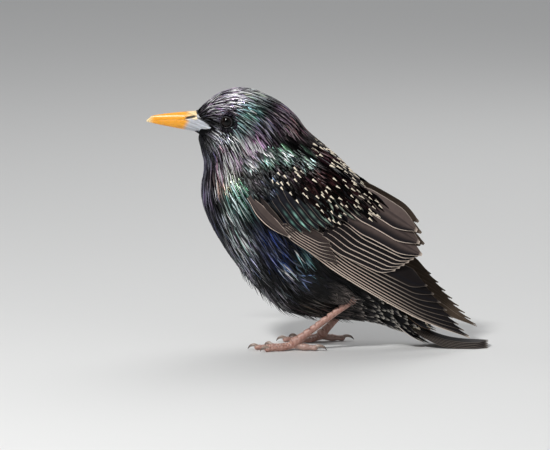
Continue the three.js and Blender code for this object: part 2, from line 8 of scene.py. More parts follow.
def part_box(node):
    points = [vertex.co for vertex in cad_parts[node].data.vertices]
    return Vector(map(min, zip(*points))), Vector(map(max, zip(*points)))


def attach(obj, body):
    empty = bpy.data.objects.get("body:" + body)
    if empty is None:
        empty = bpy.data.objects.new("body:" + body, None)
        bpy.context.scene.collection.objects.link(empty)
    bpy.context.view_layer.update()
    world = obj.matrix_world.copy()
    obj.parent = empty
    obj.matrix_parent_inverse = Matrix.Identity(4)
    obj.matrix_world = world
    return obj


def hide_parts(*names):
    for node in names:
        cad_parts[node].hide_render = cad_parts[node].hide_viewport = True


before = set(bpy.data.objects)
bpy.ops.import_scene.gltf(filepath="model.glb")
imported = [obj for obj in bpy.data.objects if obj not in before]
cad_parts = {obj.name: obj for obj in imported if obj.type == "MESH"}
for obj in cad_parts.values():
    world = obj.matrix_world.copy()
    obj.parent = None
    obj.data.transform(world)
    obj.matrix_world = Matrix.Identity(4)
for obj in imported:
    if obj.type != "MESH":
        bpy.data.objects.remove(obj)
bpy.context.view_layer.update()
rng = np.random.default_rng(41)

MM = 0.001

# The camera: the photo's frame, its scale and its viewing height
PHOTO_W, PHOTO_H = 550, 450
MM_PER_PIXEL = 0.46
PIXEL_X0, PIXEL_GROUND = 305, 346  # the photo's column at x = 0 and its row at the ground in mid-body
VIEW_UP = 8.0  # degrees above level
VIEW_DISTANCE = 2.0
SENSOR = 36.0

# Body sections, as in the solids: top point x, z, bottom point x, z, half width, fullness
BODY = np.array([
    [-49.9, 108.9, -47.6, 99.2, 3.6, 2.2],
    [-45.4, 112.7, -48.8, 97.0, 4.7, 2.3],
    [-40.8, 116.4, -48.0, 93.2, 5.9, 2.4],
    [-35.9, 118.5, -47.2, 89.8, 7.7, 2.4],
    [-29.4, 119.5, -46.4, 86.6, 9.6, 2.5],
    [-23.0, 118.5, -46.0, 83.4, 11.2, 2.5],
    [-16.0, 115.3, -46.3, 79.9, 12.3, 2.5],
    [-10.1, 111.7, -47.0, 76.3, 13.0, 2.5],
    [-4.2, 106.3, -47.1, 71.4, 14.2, 2.4],
    [0.2, 100.3, -46.2, 66.0, 16.4, 2.4],
    [6.4, 94.8, -43.8, 59.6, 19.3, 2.3],
    [13.7, 88.8, -39.6, 51.6, 21.8, 2.3],
    [20.1, 82.4, -33.8, 42.6, 23.0, 2.3],
    [26.5, 75.0, -27.0, 33.7, 23.2, 2.3],
    [31.5, 67.5, -18.5, 24.6, 22.2, 2.2],
    [35.5, 60.0, -9.5, 17.4, 19.8, 2.2],
    [38.7, 52.0, 2.0, 14.6, 16.2, 2.1],
    [41.0, 43.5, 13.0, 13.4, 12.6, 2.1],
    [44.0, 34.5, 24.0, 12.4, 9.6, 2.0],
    [47.8, 25.8, 34.0, 10.8, 7.6, 2.0],
    [51.0, 17.6, 42.6, 7.8, 6.4, 2.0],
    [56.0, 10.4, 51.2, 5.4, 4.8, 2.0],
])
LAST_ROW = len(BODY) - 1

# Bill, eyes, wings, tail and legs, as in the solids
BILL_TIP = (-73.1, 104.5)
BILL_START = 0.4  # the solid starts this far behind the very tip
BILL_ROOT_X, BILL_SUNK = -46.5, 4.5
CULMEN_Z, GONYS_Z, MOUTH_Z = 109.4, 98.9, 105.0
MOUTH_DROP = 3.2
BILL_HALF_WIDTH = 4.1
GAPE_WIDER = 2.2
NOSTRIL = (-52.4, 106.4)
EYE = (-35.6, 7.4, 104.9)
EYE_LEAN = 0.25  # how much the eye looks ahead
EYE_RADIUS, EYE_OPENING = 3.3, 2.45
WING_BEND = {"left": (-28.5, 78.4), "right": (-28.5, 75.9)}
WING_LENGTH = 129.4
WING_DROOP = {"left": 34.7, "right": 31.6}
WING_FLANK = np.array([[-6, 18.6], [0, 20.2], [30, 24.4], [65, 22.0], [91, 16.6], [115, 10.8], [132, 7.2]])
WING_LOW_EDGE = -8
WING_ROUND = 0.011
WING_OFF_BODY = 1.7
TAIL_ROOT = (34.0, 25.4)
TAIL_LENGTH = 60.5
TAIL_STEEP, TAIL_FLAT = 46, 3.5
TAIL_BEND = (0.18, 0.9)
TAIL_ARCH = 0.02
LEGS = {
    "left": dict(heel=(21.4, -14.6, 23.4), foot=(-5.0, -12.6, 3.5), knee=(-5, -13.5, 37), turn=-4, mirror=1),
    "right": dict(heel=(29.6, 13.4, 27.0), foot=(8.0, 12.4, 3.5), knee=(1, 13, 38), turn=5, mirror=-1),
}
TARSUS_SHAFT, TARSUS_HEEL, TARSUS_HUB = 1.55, 2.3, 2.7
TOES = [  # name, heading on the left foot, fleshy length, root radius, claw length
    ("middle", 0, 17.2, 1.75, 6.2),
    ("inner", -27, 12.6, 1.6, 5.4),
    ("outer", 24, 13.2, 1.6, 5.2),
    ("hind", 176, 9.8, 1.9, 7.6),
]

# The solids are centred on their box, so the frame says how far the anatomy above is moved
SHIFT = np.array([
    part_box("bill_upper")[0][0] / MM - (BILL_TIP[0] + BILL_START),
    (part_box("eye_left")[0][1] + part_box("eye_right")[1][1]) / 2 / MM,
    0.0,
])


# Numbers
def mix(a, b, t):
    return a + (b - a) * t


def smooth(x, start, end):
    t = np.clip((np.asarray(x, float) - start) / (end - start), 0, 1)
    return t * t * (3 - 2 * t)


def signed_power(x, p):
    return np.sign(x) * np.abs(x) ** p


def curve_through(rows, place):
    """A smooth curve through rows of numbers, at places counted in rows."""
    place = np.asarray(place, float)
    i = np.clip(np.floor(place).astype(int), 0, len(rows) - 2)
    t = (place - i)[..., None]
    a, b, c, d = (rows[np.clip(i + k, 0, len(rows) - 1)] for k in (-1, 0, 1, 2))
    return 0.5 * (2 * b + (c - a) * t + (2 * a - 5 * b + 4 * c - d) * t**2 + (3 * b - a - 3 * c + d) * t**3)


def table_at(table, x):
    place = np.interp(x, table[:, 0], np.arange(len(table)))
    return curve_through(table, place)[..., 1]


def unit(v):
    return v / np.maximum(np.linalg.norm(v, axis=-1, keepdims=True), 1e-9)


TURN = 2 * np.pi


def round_angles(count):
    """Angles evenly round a whole turn."""
    return np.linspace(0, TURN, count, endpoint=False)


def as_arrays(*values):
    """The values as arrays of numbers of one shape."""
    return np.broadcast_arrays(*(np.asarray(value, float) for value in values))


def slopes(surface, p, q, out):
    """How far a point of a surface moves for each unit of p, and of q."""
    e = 1e-3
    along_p = (surface(p + e, q, out) - surface(p - e, q, out)) / (2 * e)
    along_q = (surface(p, q + e, out) - surface(p, q - e, out)) / (2 * e)
    return along_p, along_q


def facing(surface, p, q, inside):
    """+1 where the surface's own normal points away from the inside point, else -1."""
    p, q = np.array([p]), np.array([q])
    normal = np.cross(*slopes(surface, p, q, 0.0))[0]
    return 1.0 if np.dot(normal, surface(p, q, 0.0)[0] - inside) > 0 else -1.0


# Surfaces: each gives points in millimetres for a place p along the feathers and q across them
def body_surface(p, q, out):
    """p is a place along the body's sections, q the angle round them: 0 right, pi/2 back, pi left."""
    top_x, top_z, low_x, low_z, half, full = np.moveaxis(curve_through(BODY, np.clip(p, 0, LAST_ROW)), -1, 0)
    up_x, up_z = (top_x - low_x) / 2, (top_z - low_z) / 2
    high = np.hypot(up_x, up_z)
    across = (half + out) * signed_power(np.cos(q), 2 / full)
    upward = (1 + out / high) * signed_power(np.sin(q), 2 / full)
    past = np.maximum(np.asarray(p, float) - LAST_ROW, 0) * 5.0
    return np.stack([(top_x + low_x) / 2 + up_x * upward + past * 0.75, across,
                     (top_z + low_z) / 2 + up_z * upward - past * 0.5], -1)


SECTIONS = curve_through(BODY, np.arange(0, LAST_ROW + 0.01, 0.25))


def body_reach(x, z):
    """How far the body reaches to each side at a place of its side view."""
    top_x, top_z, low_x, low_z, half, full = SECTIONS.T
    high = np.hypot(top_x - low_x, top_z - low_z) / 2
    up_x, up_z = (top_x - low_x) / 2 / high, (top_z - low_z) / 2 / high
    dx = np.asarray(x)[..., None] - (top_x + low_x) / 2
    dz = np.asarray(z)[..., None] - (top_z + low_z) / 2
    off = dx * up_z - dz * up_x
    level = np.abs(dx * up_x + dz * up_z) / high
    crossing = off[..., :-1] * off[..., 1:] <= 0
    span = off[..., :-1] - off[..., 1:]
    t = off[..., :-1] / np.where(span == 0, 1, span)
    level = np.minimum(mix(level[..., :-1], level[..., 1:], t), 1)
    full = mix(full[:-1], full[1:], t)
    wide = mix(half[:-1], half[1:], t) * (1 - level**full) ** (1 / full)
    return np.where(crossing, wide, 0).max(-1)


def wing_surface(side):
    name = "left" if side < 0 else "right"
    bend_x, bend_z = WING_BEND[name]
    droop = math.radians(WING_DROOP[name])
    along = np.array([math.cos(droop), 0, -math.sin(droop)])
    across = np.array([math.sin(droop), 0, math.cos(droop)])
    sideways = np.array([0, side, 0])

    def flank(u, v):
        x = bend_x + along[0] * u + across[0] * v
        z = bend_z + along[2] * u + across[2] * v
        free = table_at(WING_FLANK, u) - WING_ROUND * (v - WING_LOW_EDGE) ** 2
        laid = body_reach(x, z) + WING_OFF_BODY
        return (free + laid + np.hypot(free - laid, 1.5)) / 2

    def at(u, v, out):
        u, v, out = as_arrays(u, v, out)
        slope_u = flank(u + 0.5, v) - flank(u - 0.5, v)
        slope_v = flank(u, v + 0.5) - flank(u, v - 0.5)
        off = unit(sideways - slope_u[..., None] * along - slope_v[..., None] * across)
        return (np.array([bend_x, 0, bend_z]) + u[..., None] * along + v[..., None] * across
                + flank(u, v)[..., None] * sideways + out[..., None] * off)

    return at


TAIL_STEPS = 60  # steps of the tail's path down its length
STEPS_PAST_TAIL = 6
TAIL_PATH_END = 65  # in millimetres from its root


def tail_path():
    path = [(*TAIL_ROOT, math.radians(TAIL_STEEP))]
    for i in range(TAIL_STEPS + STEPS_PAST_TAIL):
        turned = float(smooth((i + 0.5) / TAIL_STEPS, *TAIL_BEND))
        slope = math.radians(mix(TAIL_STEEP, TAIL_FLAT, turned))
        x, z, _ = path[-1]
        path.append((
            x + math.cos(slope) * TAIL_LENGTH / TAIL_STEPS,
            z - math.sin(slope) * TAIL_LENGTH / TAIL_STEPS,
            slope,
        ))
    return np.array(path)


TAIL_PATH = tail_path()


def tail_surface(p, q, out):
    """p runs along the tail in millimetres, q across it."""
    p, q, out = as_arrays(p, q, out)
    step = np.clip(p, 0, TAIL_PATH_END) / TAIL_LENGTH * TAIL_STEPS
    x, z, slope = np.moveaxis(curve_through(TAIL_PATH, step), -1, 0)
    off = out - TAIL_ARCH * q**2
    height = z + np.cos(slope) * off
    height = (height + np.hypot(height, 0.3)) / 2  # pressed on the ground, not through it
    return np.stack([x + np.sin(slope) * off, q, height], -1)


# Meshes
def make_mesh(name, points, faces, colours, maps=None, material_of_face=None):
    """An object from points in millimetres and lists of faces of three or four corners."""
    mesh = bpy.data.meshes.new(name)
    points = (np.asarray(points, float) + SHIFT) * MM
    points[:, 2] = np.maximum(points[:, 2], 0)
    faces = [np.asarray(f, np.int32) for f in faces]
    corners = np.concatenate([f.ravel() for f in faces])
    counts = np.concatenate([np.full(len(f), f.shape[1], np.int32) for f in faces])
    starts = np.concatenate([[0], np.cumsum(counts)[:-1]]).astype(np.int32)
    mesh.vertices.add(len(points))
    mesh.vertices.foreach_set("co", points.ravel().astype(np.float32))
    mesh.loops.add(len(corners))
    mesh.loops.foreach_set("vertex_index", corners)
    mesh.polygons.add(len(counts))
    mesh.polygons.foreach_set("loop_start", starts)
    mesh.polygons.foreach_set("use_smooth", np.full(len(counts), True))
    if material_of_face is not None:
        mesh.polygons.foreach_set("material_index", np.asarray(material_of_face, np.int32))
    for map_name, places in (maps or {}).items():
        layer = mesh.uv_layers.new(name=map_name)
        layer.uv.foreach_set("vector", np.asarray(places, np.float32)[corners].ravel())
    layer = mesh.attributes.new("Col", "FLOAT_COLOR", "POINT")
    full = np.ones((len(points), 4), np.float32)
    full[:, :3] = colours
    layer.data.foreach_set("color", full.ravel())
    mesh.update()
    mesh.validate()
    piece = bpy.data.objects.new(name, mesh)
    bpy.context.scene.collection.objects.link(piece)
    return piece


def finish_piece(piece, slot, materials, replaces=()):
    for material in materials:
        piece.data.materials.append(material)
    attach(piece, "root")
    if replaces:
        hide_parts(*replaces)
    return piece


def grid_faces(rows, cols, closed=False):
    """Faces of a grid of points, row by row, closed round each row or not."""
    r = np.arange(rows - 1)[:, None]
    c = np.arange(cols if closed else cols - 1)[None, :]
    a = r * cols + c
    b = r * cols + (c + 1) % cols
    return np.stack([a, b, b + cols, a + cols], -1).reshape(-1, 4)


def turned_over(faces):
    """The same faces, looking the other way, each split along the same diagonal."""
    return np.roll(faces[:, ::-1], 1, axis=1)


def tube(rings, clockwise=False):
    """Points and outward faces of rings of points, closed round each ring and capped at both ends.

    clockwise says how the rings turn as seen along the tube, from the first ring.
    """
    rows, cols = rings.shape[:2]
    n = rows * cols
    ring = np.arange(cols)
    after = (ring + 1) % cols
    faces = [
        np.roll(grid_faces(rows, cols, True), 1, axis=1),
        np.stack([np.full(cols, n), after, ring], 1),
        np.stack([np.full(cols, n + 1), n - cols + ring, n - cols + after], 1),
    ]
    if not clockwise:
        faces = [turned_over(f) for f in faces]
    return np.concatenate([rings.reshape(-1, 3), [rings[0].mean(0), rings[-1].mean(0)]]), faces


def build_tube(name, rings, colours, slot, material, replaces=(), clockwise=True, floor=None):
    if floor is not None:
        rings[..., 2] = np.maximum(rings[..., 2], floor)
    points, faces = tube(rings, clockwise)
    tones = np.concatenate([colours.reshape(-1, 3), [colours[0, 0], colours[-1, 0]]])
    finish_piece(make_mesh(name, points, faces, tones), slot, [material], replaces)


# Materials
def new_material(name):
    material = bpy.data.materials.new(name)
    material.use_nodes = True
    tree = material.node_tree
    return material, tree.nodes, tree.links, tree.nodes["Principled BSDF"]


def set_inputs(node, values):
    for name, value in values.items():
        node.inputs[name].default_value = value


def spread_over(nodes, links, value, low, high):
    """A value from 0 to 1, spread over low to high."""
    node = nodes.new("ShaderNodeMapRange")
    set_inputs(node, {"To Min": low, "To Max": high})
    links.new(value, node.inputs["Value"])
    return node.outputs["Result"]


def coloured(nodes, links, shader, vary, scale):
    """The mesh's own colours, varied a little in brightness by a noise, which it gives back."""
    colour = nodes.new("ShaderNodeAttribute")
    colour.attribute_name = "Col"
    place = nodes.new("ShaderNodeTexCoord")
    noise = nodes.new("ShaderNodeTexNoise")
    set_inputs(noise, {"Scale": scale, "Detail": 3})
    links.new(place.outputs["Object"], noise.inputs["Vector"])
    varied = nodes.new("ShaderNodeVectorMath")
    varied.operation = "SCALE"
    links.new(colour.outputs["Color"], varied.inputs[0])
    links.new(spread_over(nodes, links, noise.outputs["Fac"], 1 - vary, 1 + vary), varied.inputs["Scale"])
    links.new(varied.outputs["Vector"], shader.inputs["Base Color"])
    return noise.outputs["Fac"]


def rough_and_bumpy(nodes, links, shader, noise, rough, strength, distance, height=None):
    """Roughness between two values and a fine bump, from a noise or from a height of its own."""
    links.new(spread_over(nodes, links, noise, *rough), shader.inputs["Roughness"])
    bump = nodes.new("ShaderNodeBump")
    set_inputs(bump, {"Strength": strength, "Distance": distance})
    links.new(noise if height is None else height, bump.inputs["Height"])
    links.new(bump.outputs["Normal"], shader.inputs["Normal"])


def feather_material(name, metallic, rough, specular=0.4, sheen=0.0):
    material, nodes, links, shader = new_material(name)
    noise = coloured(nodes, links, shader, 0.12, 1500.0)
    rough_and_bumpy(nodes, links, shader, noise, rough, 0.35, 0.00008)
    set_inputs(shader, {"Metallic": metallic, "Specular IOR Level": specular, "Sheen Weight": sheen})
    return material


def vane_material(name, metallic, rough, specular, vary=0.2):
    """Flight feathers: fine slanted barbs on each side of the shaft, from the vane's own map."""
    material, nodes, links, shader = new_material(name)
    noise = coloured(nodes, links, shader, vary, 500.0)
    place = nodes.new("ShaderNodeUVMap")
    place.uv_map = "Vane"
    split = nodes.new("ShaderNodeSeparateXYZ")
    links.new(place.outputs["UV"], split.inputs["Vector"])

    def math_node(kind, *values):
        node = nodes.new("ShaderNodeMath")
        node.operation = kind
        for socket, value in zip(node.inputs, values):
            if isinstance(value, float):
                socket.default_value = value
            else:
                links.new(value, socket)
        return node.outputs[0]

    slant = math_node("MULTIPLY", math_node("ABSOLUTE", split.outputs["Y"]), 1.1)
    run = math_node("SUBTRACT", split.outputs["X"], slant)
    barbs = math_node("SINE", math_node("MULTIPLY", run, 14.0))
    height = math_node("ADD", math_node("MULTIPLY", barbs, 0.25), noise)
    rough_and_bumpy(nodes, links, shader, noise, rough, 0.3, 0.00003, height)
    set_inputs(shader, {"Metallic": metallic, "Specular IOR Level": specular})
    return material


def horn_material(name, rough, coat, scale=700.0, vary=0.07):
    material, nodes, links, shader = new_material(name)
    noise = coloured(nodes, links, shader, vary, scale)
    rough_and_bumpy(nodes, links, shader, noise, rough, 0.15, 0.00005)
    set_inputs(shader, {
        "Specular IOR Level": 0.5, "Coat Weight": coat, "Coat Roughness": 0.25,
        "Subsurface Weight": 0.08, "Subsurface Radius": (0.002, 0.001, 0.0005),
    })
    return material


def plain_material(name, colour, roughness, specular):
    material, nodes, links, shader = new_material(name)
    set_inputs(shader, {"Base Color": (*colour, 1), "Roughness": roughness, "Specular IOR Level": specular})
    return material


GLOSS = feather_material("gloss_feather", 0.85, (0.20, 0.36))
STRAND = feather_material("strand_feather", 0.4, (0.30, 0.46))
SATIN = feather_material("satin_feather", 0.6, (0.28, 0.46))
SOFT = feather_material("soft_feather", 0.0, (0.62, 0.8), specular=0.2, sheen=0.1)
CREAM_TIP = plain_material("cream_tip", (0.86, 0.76, 0.60), 0.6, 0.3)
SKIN = feather_material("skin_under_feathers", 0.0, (0.7, 0.9), specular=0.1)
VANE = vane_material("flight_vane", 0.0, (0.44, 0.62), 0.12)
VANE_GLOSS = vane_material("gloss_vane", 0.55, (0.26, 0.42), 0.4, vary=0.45)
HORN = horn_material("bill_horn", (0.3, 0.45), 0.25, vary=0.14)
LEG_SKIN = horn_material("leg_skin", (0.34, 0.58), 0.1, 420.0, 0.35)
CLAW = horn_material("claw_horn", (0.25, 0.4), 0.3)

# Colours, in linear light
BLACK = np.array([0.006, 0.006, 0.009])
WHITE_EDGE = np.array([0.78, 0.73, 0.65])
PALE_EDGE = np.array([0.60, 0.50, 0.42])
BUFF = np.array([0.36, 0.24, 0.15])
BROWN = np.array([0.009, 0.007, 0.007])
TAUPE = np.array([0.10, 0.074, 0.066])
UNDERWING = np.array([0.17, 0.125, 0.09])
GREY_FLUFF = np.array([0.10, 0.085, 0.078])


# Small feathers, laid over a surface in one go
def place_roots(surface, p_range, q_range, gap, count, keep=None):
    """Evenly scattered places on a surface. gap is in millimetres, or a function of p and q."""
    p = rng.uniform(*p_range, count)
    q = rng.uniform(*q_range, count)
    area = np.linalg.norm(np.cross(*slopes(surface, p, q, 0.0)), axis=-1)
    apart = np.broadcast_to(gap(p, q) if callable(gap) else gap, count)
    weight = area / apart**2
    chosen = rng.uniform(0, 1, count) < weight / np.percentile(weight, 97)
    if keep is not None:
        chosen &= keep(p, q)
    p, q, apart = p[chosen], q[chosen], apart[chosen]
    at = surface(p, q, 0.0)
    tree = kdtree.KDTree(len(at))
    for i, point in enumerate(at):
        tree.insert(point, i)
    tree.balance()
    gone = np.zeros(len(at), bool)
    kept = []
    for i in range(len(at)):
        if gone[i]:
            continue
        kept.append(i)
        for _, j, _ in tree.find_range(at[i], apart[i]):
            gone[j] = True
    return p[kept], q[kept]


def feather_rings(surface, p, q, length, heading, sink, rise, curl, t):
    """Centre lines of feathers that follow a surface: points, and directions off the surface."""
    points, offs = [], []
    for place, step in zip(t, np.append(np.diff(t), 0)):
        out = mix(-sink, rise, place**0.8) + curl * place**3
        side_p, side_q = slopes(surface, p, q, out)
        points.append(surface(p, q, out))
        offs.append(unit(np.cross(side_p, side_q)))
        long_p, long_q = (np.maximum(np.linalg.norm(side, axis=-1), 0.5) for side in (side_p, side_q))
        p = p + length * step * np.cos(heading) / long_p
        q = q + length * step * np.sin(heading) / long_q
    return np.stack(points, 1), np.stack(offs, 1)


PLAIN_STATIONS = np.array([0, 0.25, 0.5, 0.75, 1])
TIPPED_STATIONS = np.array([0, 0.28, 0.52, 0.68, 0.77, 1])
# A blade's ring: left, ridge and right above, then left and right again below
RING_PLACES = np.array([-1, 0, 1, -1, 1.0])
RING_POINTS = len(RING_PLACES)
ROLL = 0.3  # how much blades lean to a side
PATCH = 0.003  # a blade's size in the OFBake map


def lay_feathers(name, surface, p, q, *, length, width, heading, sink, rise, curl=0.0, pointed, ridge=0.16,
                 colour, shade=0.14, tip_share=0.0, edge=None, edge_from=None, slot="plumage", materials,
                 patch, outward, clear=None, stations=None):
    """One object of small feathers: each is a slightly roofed blade from the skin to its tip."""
    n = len(p)
    tip_share = np.broadcast_to(tip_share, n)
    t = stations if stations is not None else (TIPPED_STATIONS if tip_share.any() else PLAIN_STATIONS)
    length, width, heading = (np.broadcast_to(x, n).astype(float) for x in (length, width, heading))
    colour = np.broadcast_to(colour, (n, 3))
    points, offs = feather_rings(surface, p, q, length, heading, sink, rise, curl, t)
    if clear is not None:
        kept = clear(points)
        points, offs, width, colour, p, q, tip_share = (
            x[kept] for x in (points, offs, width, colour, p, q, tip_share))
        n = len(p)

    offs = offs * outward
    along = unit(np.gradient(points, axis=1))
    across = unit(np.cross(offs, along))
    offs = unit(offs + across * rng.normal(0, ROLL, n)[:, None, None])
    across = unit(np.cross(offs, along))
    round_end = np.sqrt(np.clip(1 - smooth(t, 0.45, 1.0) ** 2 * 0.97, 0, 1))
    sharp_end = 1 - smooth(t, 0.2, 1.0) * 0.93
    shape = (0.4 + 0.6 * smooth(t, 0, 0.4)) * mix(round_end, sharp_end, pointed)
    half = (width[:, None] / 2 * shape)[..., None]
    high = (ridge * width[:, None] * np.sin(np.pi * np.clip(t * 0.92 + 0.04, 0, 1)) ** 0.6)[..., None]
    left, right = points - across * half, points + across * half
    vertices = np.stack([left, points + offs * high, right, left, right], 2).reshape(-1, 3)

    base = np.arange(n)[:, None] * len(t) * RING_POINTS
    tipped = (rng.uniform(0, 1, n) < tip_share).astype(np.int32)
    faces, tips = [], []
    for i in range(len(t) - 1):
        a = base + i * RING_POINTS
        b = a + RING_POINTS
        for j, k in ((0, 1), (1, 2), (4, 3)):
            faces.append(np.concatenate([a + j, b + j, b + k, a + k], 1))
            tips.append(tipped if i == len(t) - 2 and j < 2 else 0 * tipped)

    sides = np.abs(RING_PLACES)
    # Painted shade: each blade's sides are painted darker than its ridge, which leaves a painted highlight
    # along the ridge.
    tone = colour[:, None, None, :] * (1 - (1 - shade) * sides)[None, None, :, None]
    # Painted shade towards each blade's root, where the feathers above cover it.
    tone = tone * (0.35 + 0.65 * smooth(t, 0.1, 0.6))[None, :, None, None]
    if edge is not None:
        amount = np.maximum(sides[None, :], (t > 0.97)[:, None]) * smooth(t, *edge_from)[:, None]
        tone = mix(tone, np.broadcast_to(edge, (n, 3))[:, None, None, :], amount[None, :, :, None])
    root_u, root_v = patch(p, q)
    bake = np.stack(np.broadcast_arrays(root_u[:, None, None] + (t[:, None] - 0.5) * PATCH,
                                        root_v[:, None, None] + RING_PLACES / 2 * PATCH), -1)
    piece = make_mesh(name, vertices, [np.concatenate(faces)], tone.reshape(-1, 3),
                      {"OFBake": bake.reshape(-1, 2)}, np.concatenate(tips) if len(materials) > 1 else None)
    finish_piece(piece, slot, materials)


def growing(low, each, start=0.0):
    """A measure that grows with p."""
    return lambda p, *_: low + each * (p - start)


def drawn(low, more):
    """A measure drawn between low and low + more for each feather."""
    return lambda p, q, at: low + rng.uniform(0, more, len(p))


def around(middle, size):
    """A heading drawn round a middle one for each feather."""
    return lambda p, q, at: middle + rng.normal(0, size, len(p))


def settled(how, p, q, at):
    """The settings of feathers rooted at p and q, worked out in the order in which they are written."""
    return {key: (value(p, q, at) if callable(value) else value) for key, value in how.items()}


def body_patch(p, q):
    return np.clip(p / LAST_ROW, 0, 1), q % TURN / TURN


# The sheen of the plumage by region, as seen from the side, put into the feathers' colours: middle x, z,
# reach in mm, colour. The silver entries and the flank's bright blue and cyan are painted glints.
SHEEN = [
    ("forehead, lilac", -40, 112.3, 5.5, (0.52, 0.44, 0.60)),
    ("fore crown, lilac", -31, 115, 6, (0.54, 0.45, 0.62)),
    ("crown, grey green", -22, 117, 6, (0.34, 0.37, 0.36)),
    ("behind the eye, teal", -24, 109.5, 5.5, (0.12, 0.36, 0.31)),
    ("lores, black", -42, 104.5, 5, (0.003, 0.003, 0.004)),
    ("under the eye, black", -35, 101, 3, (0.02, 0.015, 0.025)),
    ("ear, dark teal", -27, 101.5, 5, (0.12, 0.20, 0.22)),
    ("ear, grey", -18, 102, 6, (0.16, 0.15, 0.20)),
    ("nape, plum", -9, 106, 7, (0.14, 0.09, 0.14)),
    ("nape, plum brown", -4, 100, 7, (0.13, 0.075, 0.08)),
    ("lower neck, black", -9, 95, 5, (0.02, 0.012, 0.02)),
    # Painted glints: silver on the cheek.
    ("cheek, silver", -39, 98, 3.5, (0.42, 0.40, 0.48)),
    ("cheek, silver teal", -33.5, 97, 4, (0.36, 0.44, 0.45)),
    ("cheek, sea green", -29.5, 93, 4, (0.60, 0.78, 0.70)),
    ("neck side, magenta", -22, 92.5, 5, (0.74, 0.34, 0.66)),
    # Painted glints: silver lilac on the breast side.
    ("breast side, silver lilac", -33, 86, 5.5, (0.80, 0.60, 0.78)),
    ("breast side, pink", -37.5, 79.5, 5, (0.74, 0.36, 0.56)),
    ("breast side, copper", -38.5, 73.5, 3.5, (0.62, 0.38, 0.26)),
    ("breast side, gold green", -33, 77, 4.5, (0.50, 0.60, 0.34)),
    ("breast side, green", -29, 73, 5, (0.16, 0.50, 0.36)),
    ("breast, teal", -30, 65, 6, (0.14, 0.38, 0.32)),
    # Painted glints: silver streaks on the breast.
    ("breast, silver", -33, 58, 5, (0.36, 0.40, 0.44)),
    ("lower breast, silver", -28, 48, 6.5, (0.36, 0.39, 0.44)),
    ("chin, black", -48, 95, 5, (0.008, 0.008, 0.014)),
    ("throat, navy", -46, 84, 6, (0.08, 0.08, 0.15)),
    ("breast middle, navy", -46, 70, 8, (0.12, 0.11, 0.17)),
    ("breast middle, black", -42, 54, 8, (0.02, 0.02, 0.05)),
    ("flank, navy", -15, 50, 8, (0.01, 0.025, 0.11)),
    ("flank, deep blue", -10, 40, 5, (0.015, 0.05, 0.28)),
    # Painted glints: bright blue and cyan on the flank.
    ("flank, bright blue", -7, 36, 3.2, (0.44, 0.62, 0.95)),
    ("flank, cyan", 1, 43, 3.0, (0.30, 0.62, 0.74)),
    ("flank, black", 10, 32, 6, (0.006, 0.006, 0.01)),
    ("belly, black", -26, 36, 8, (0.20, 0.21, 0.26)),
    ("lower belly, grey black", -13, 22, 8, (0.17, 0.17, 0.20)),
    ("between the legs, grey brown", 10, 17, 9, (0.07, 0.058, 0.052)),
    ("vent, black", 28, 18, 10, (0.012, 0.012, 0.014)),
    ("shoulder, green", -17, 88.6, 3.4, (0.36, 0.70, 0.56)),
    ("shoulder, green behind", -8, 89, 3.4, (0.38, 0.68, 0.55)),
    ("shoulder, green end", 1.5, 86.2, 3.2, (0.30, 0.52, 0.42)),
    ("bend of the wing, grey", -24, 84.5, 3.2, (0.36, 0.40, 0.38)),
    ("bend of the wing, plum grey", -23, 76, 5, (0.06, 0.042, 0.055)),
    ("small coverts, slate", -14, 73, 8, (0.02, 0.028, 0.04)),
    ("shoulder blades, brown black", -3, 80, 8, (0.022, 0.014, 0.014)),
    ("shoulder blades, maroon", 8, 78, 9, (0.05, 0.02, 0.02)),
    ("mantle, maroon black", 12, 87, 8, (0.05, 0.016, 0.02)),
    ("lower back, maroon black", 26, 74, 10, (0.04, 0.014, 0.016)),
    ("rump, black", 40, 48, 12, (0.02, 0.02, 0.026)),
]
SHEEN_PLACES = np.array([row[1:3] for row in SHEEN], float)
SHEEN_REACH = np.array([row[3] for row in SHEEN], float)
SHEEN_COLOURS = np.array([row[4] for row in SHEEN])


def gloss_colour(x, z, bright=0.5, spread=0.35, pale=0.0, gain=1.35):
    """The plumage's sheen at places of the side view. A share of the feathers get a painted glint, the rest
    stay dark.

    pale is how far a feather with a painted glint may go towards silver, a painted highlight.
    """
    gap = np.hypot(x[:, None] - SHEEN_PLACES[:, 0], z[:, None] - SHEEN_PLACES[:, 1]) / SHEEN_REACH
    weight = np.exp(-1.8 * gap**2) + 1e-7
    mixed = (weight[..., None] * SHEEN_COLOURS).sum(1) / weight.sum(1, keepdims=True)
    fade = np.clip(weight.max(1, keepdims=True) * 1.8, 0.2, 1)
    # Painted glints: a share of the feathers are made bright, the rest dark.
    painted_glint_factor = np.where(rng.uniform(0, 1, (len(x), 1)) < bright, gain, 0.16)
    lively = np.exp(rng.normal(0, spread, (len(x), 1))) * np.exp(rng.normal(0, spread * 0.3, (len(x), 3)))
    colour = mixed * fade * painted_glint_factor * lively
    # Painted silver highlight on part of the feathers.
    painted_silver = rng.uniform(0, 1, (len(x), 1)) * pale
    return np.clip(mix(colour, colour.max(1, keepdims=True), painted_silver), 0.002, 0.95)


def in_green_band(x, z):
    """The arch of green over the shoulder, where no feather has a pale tip."""
    middle = 89.5 - 0.022 * (x + 11) ** 2
    return (x > -28) & (x < 8) & (np.abs(z - middle) < 3.4)


# Body: a dark skin inside the feathers
def build_skin():
    p, q = np.meshgrid(np.linspace(0, LAST_ROW, LAST_ROW * 8 + 1), round_angles(96), indexing="ij")
    depth = 0.7 + 1.1 * smooth(p, 1.5, 8)
    points, faces = tube(body_surface(p, q, -depth), clockwise=True)
    tint = gloss_colour(points[:, 0], points[:, 2], 1.0, 0.0) * 0.15
    finish_piece(make_mesh("skin", points, faces, tint), "plumage", [SKIN], ["head", "neck", "torso"])


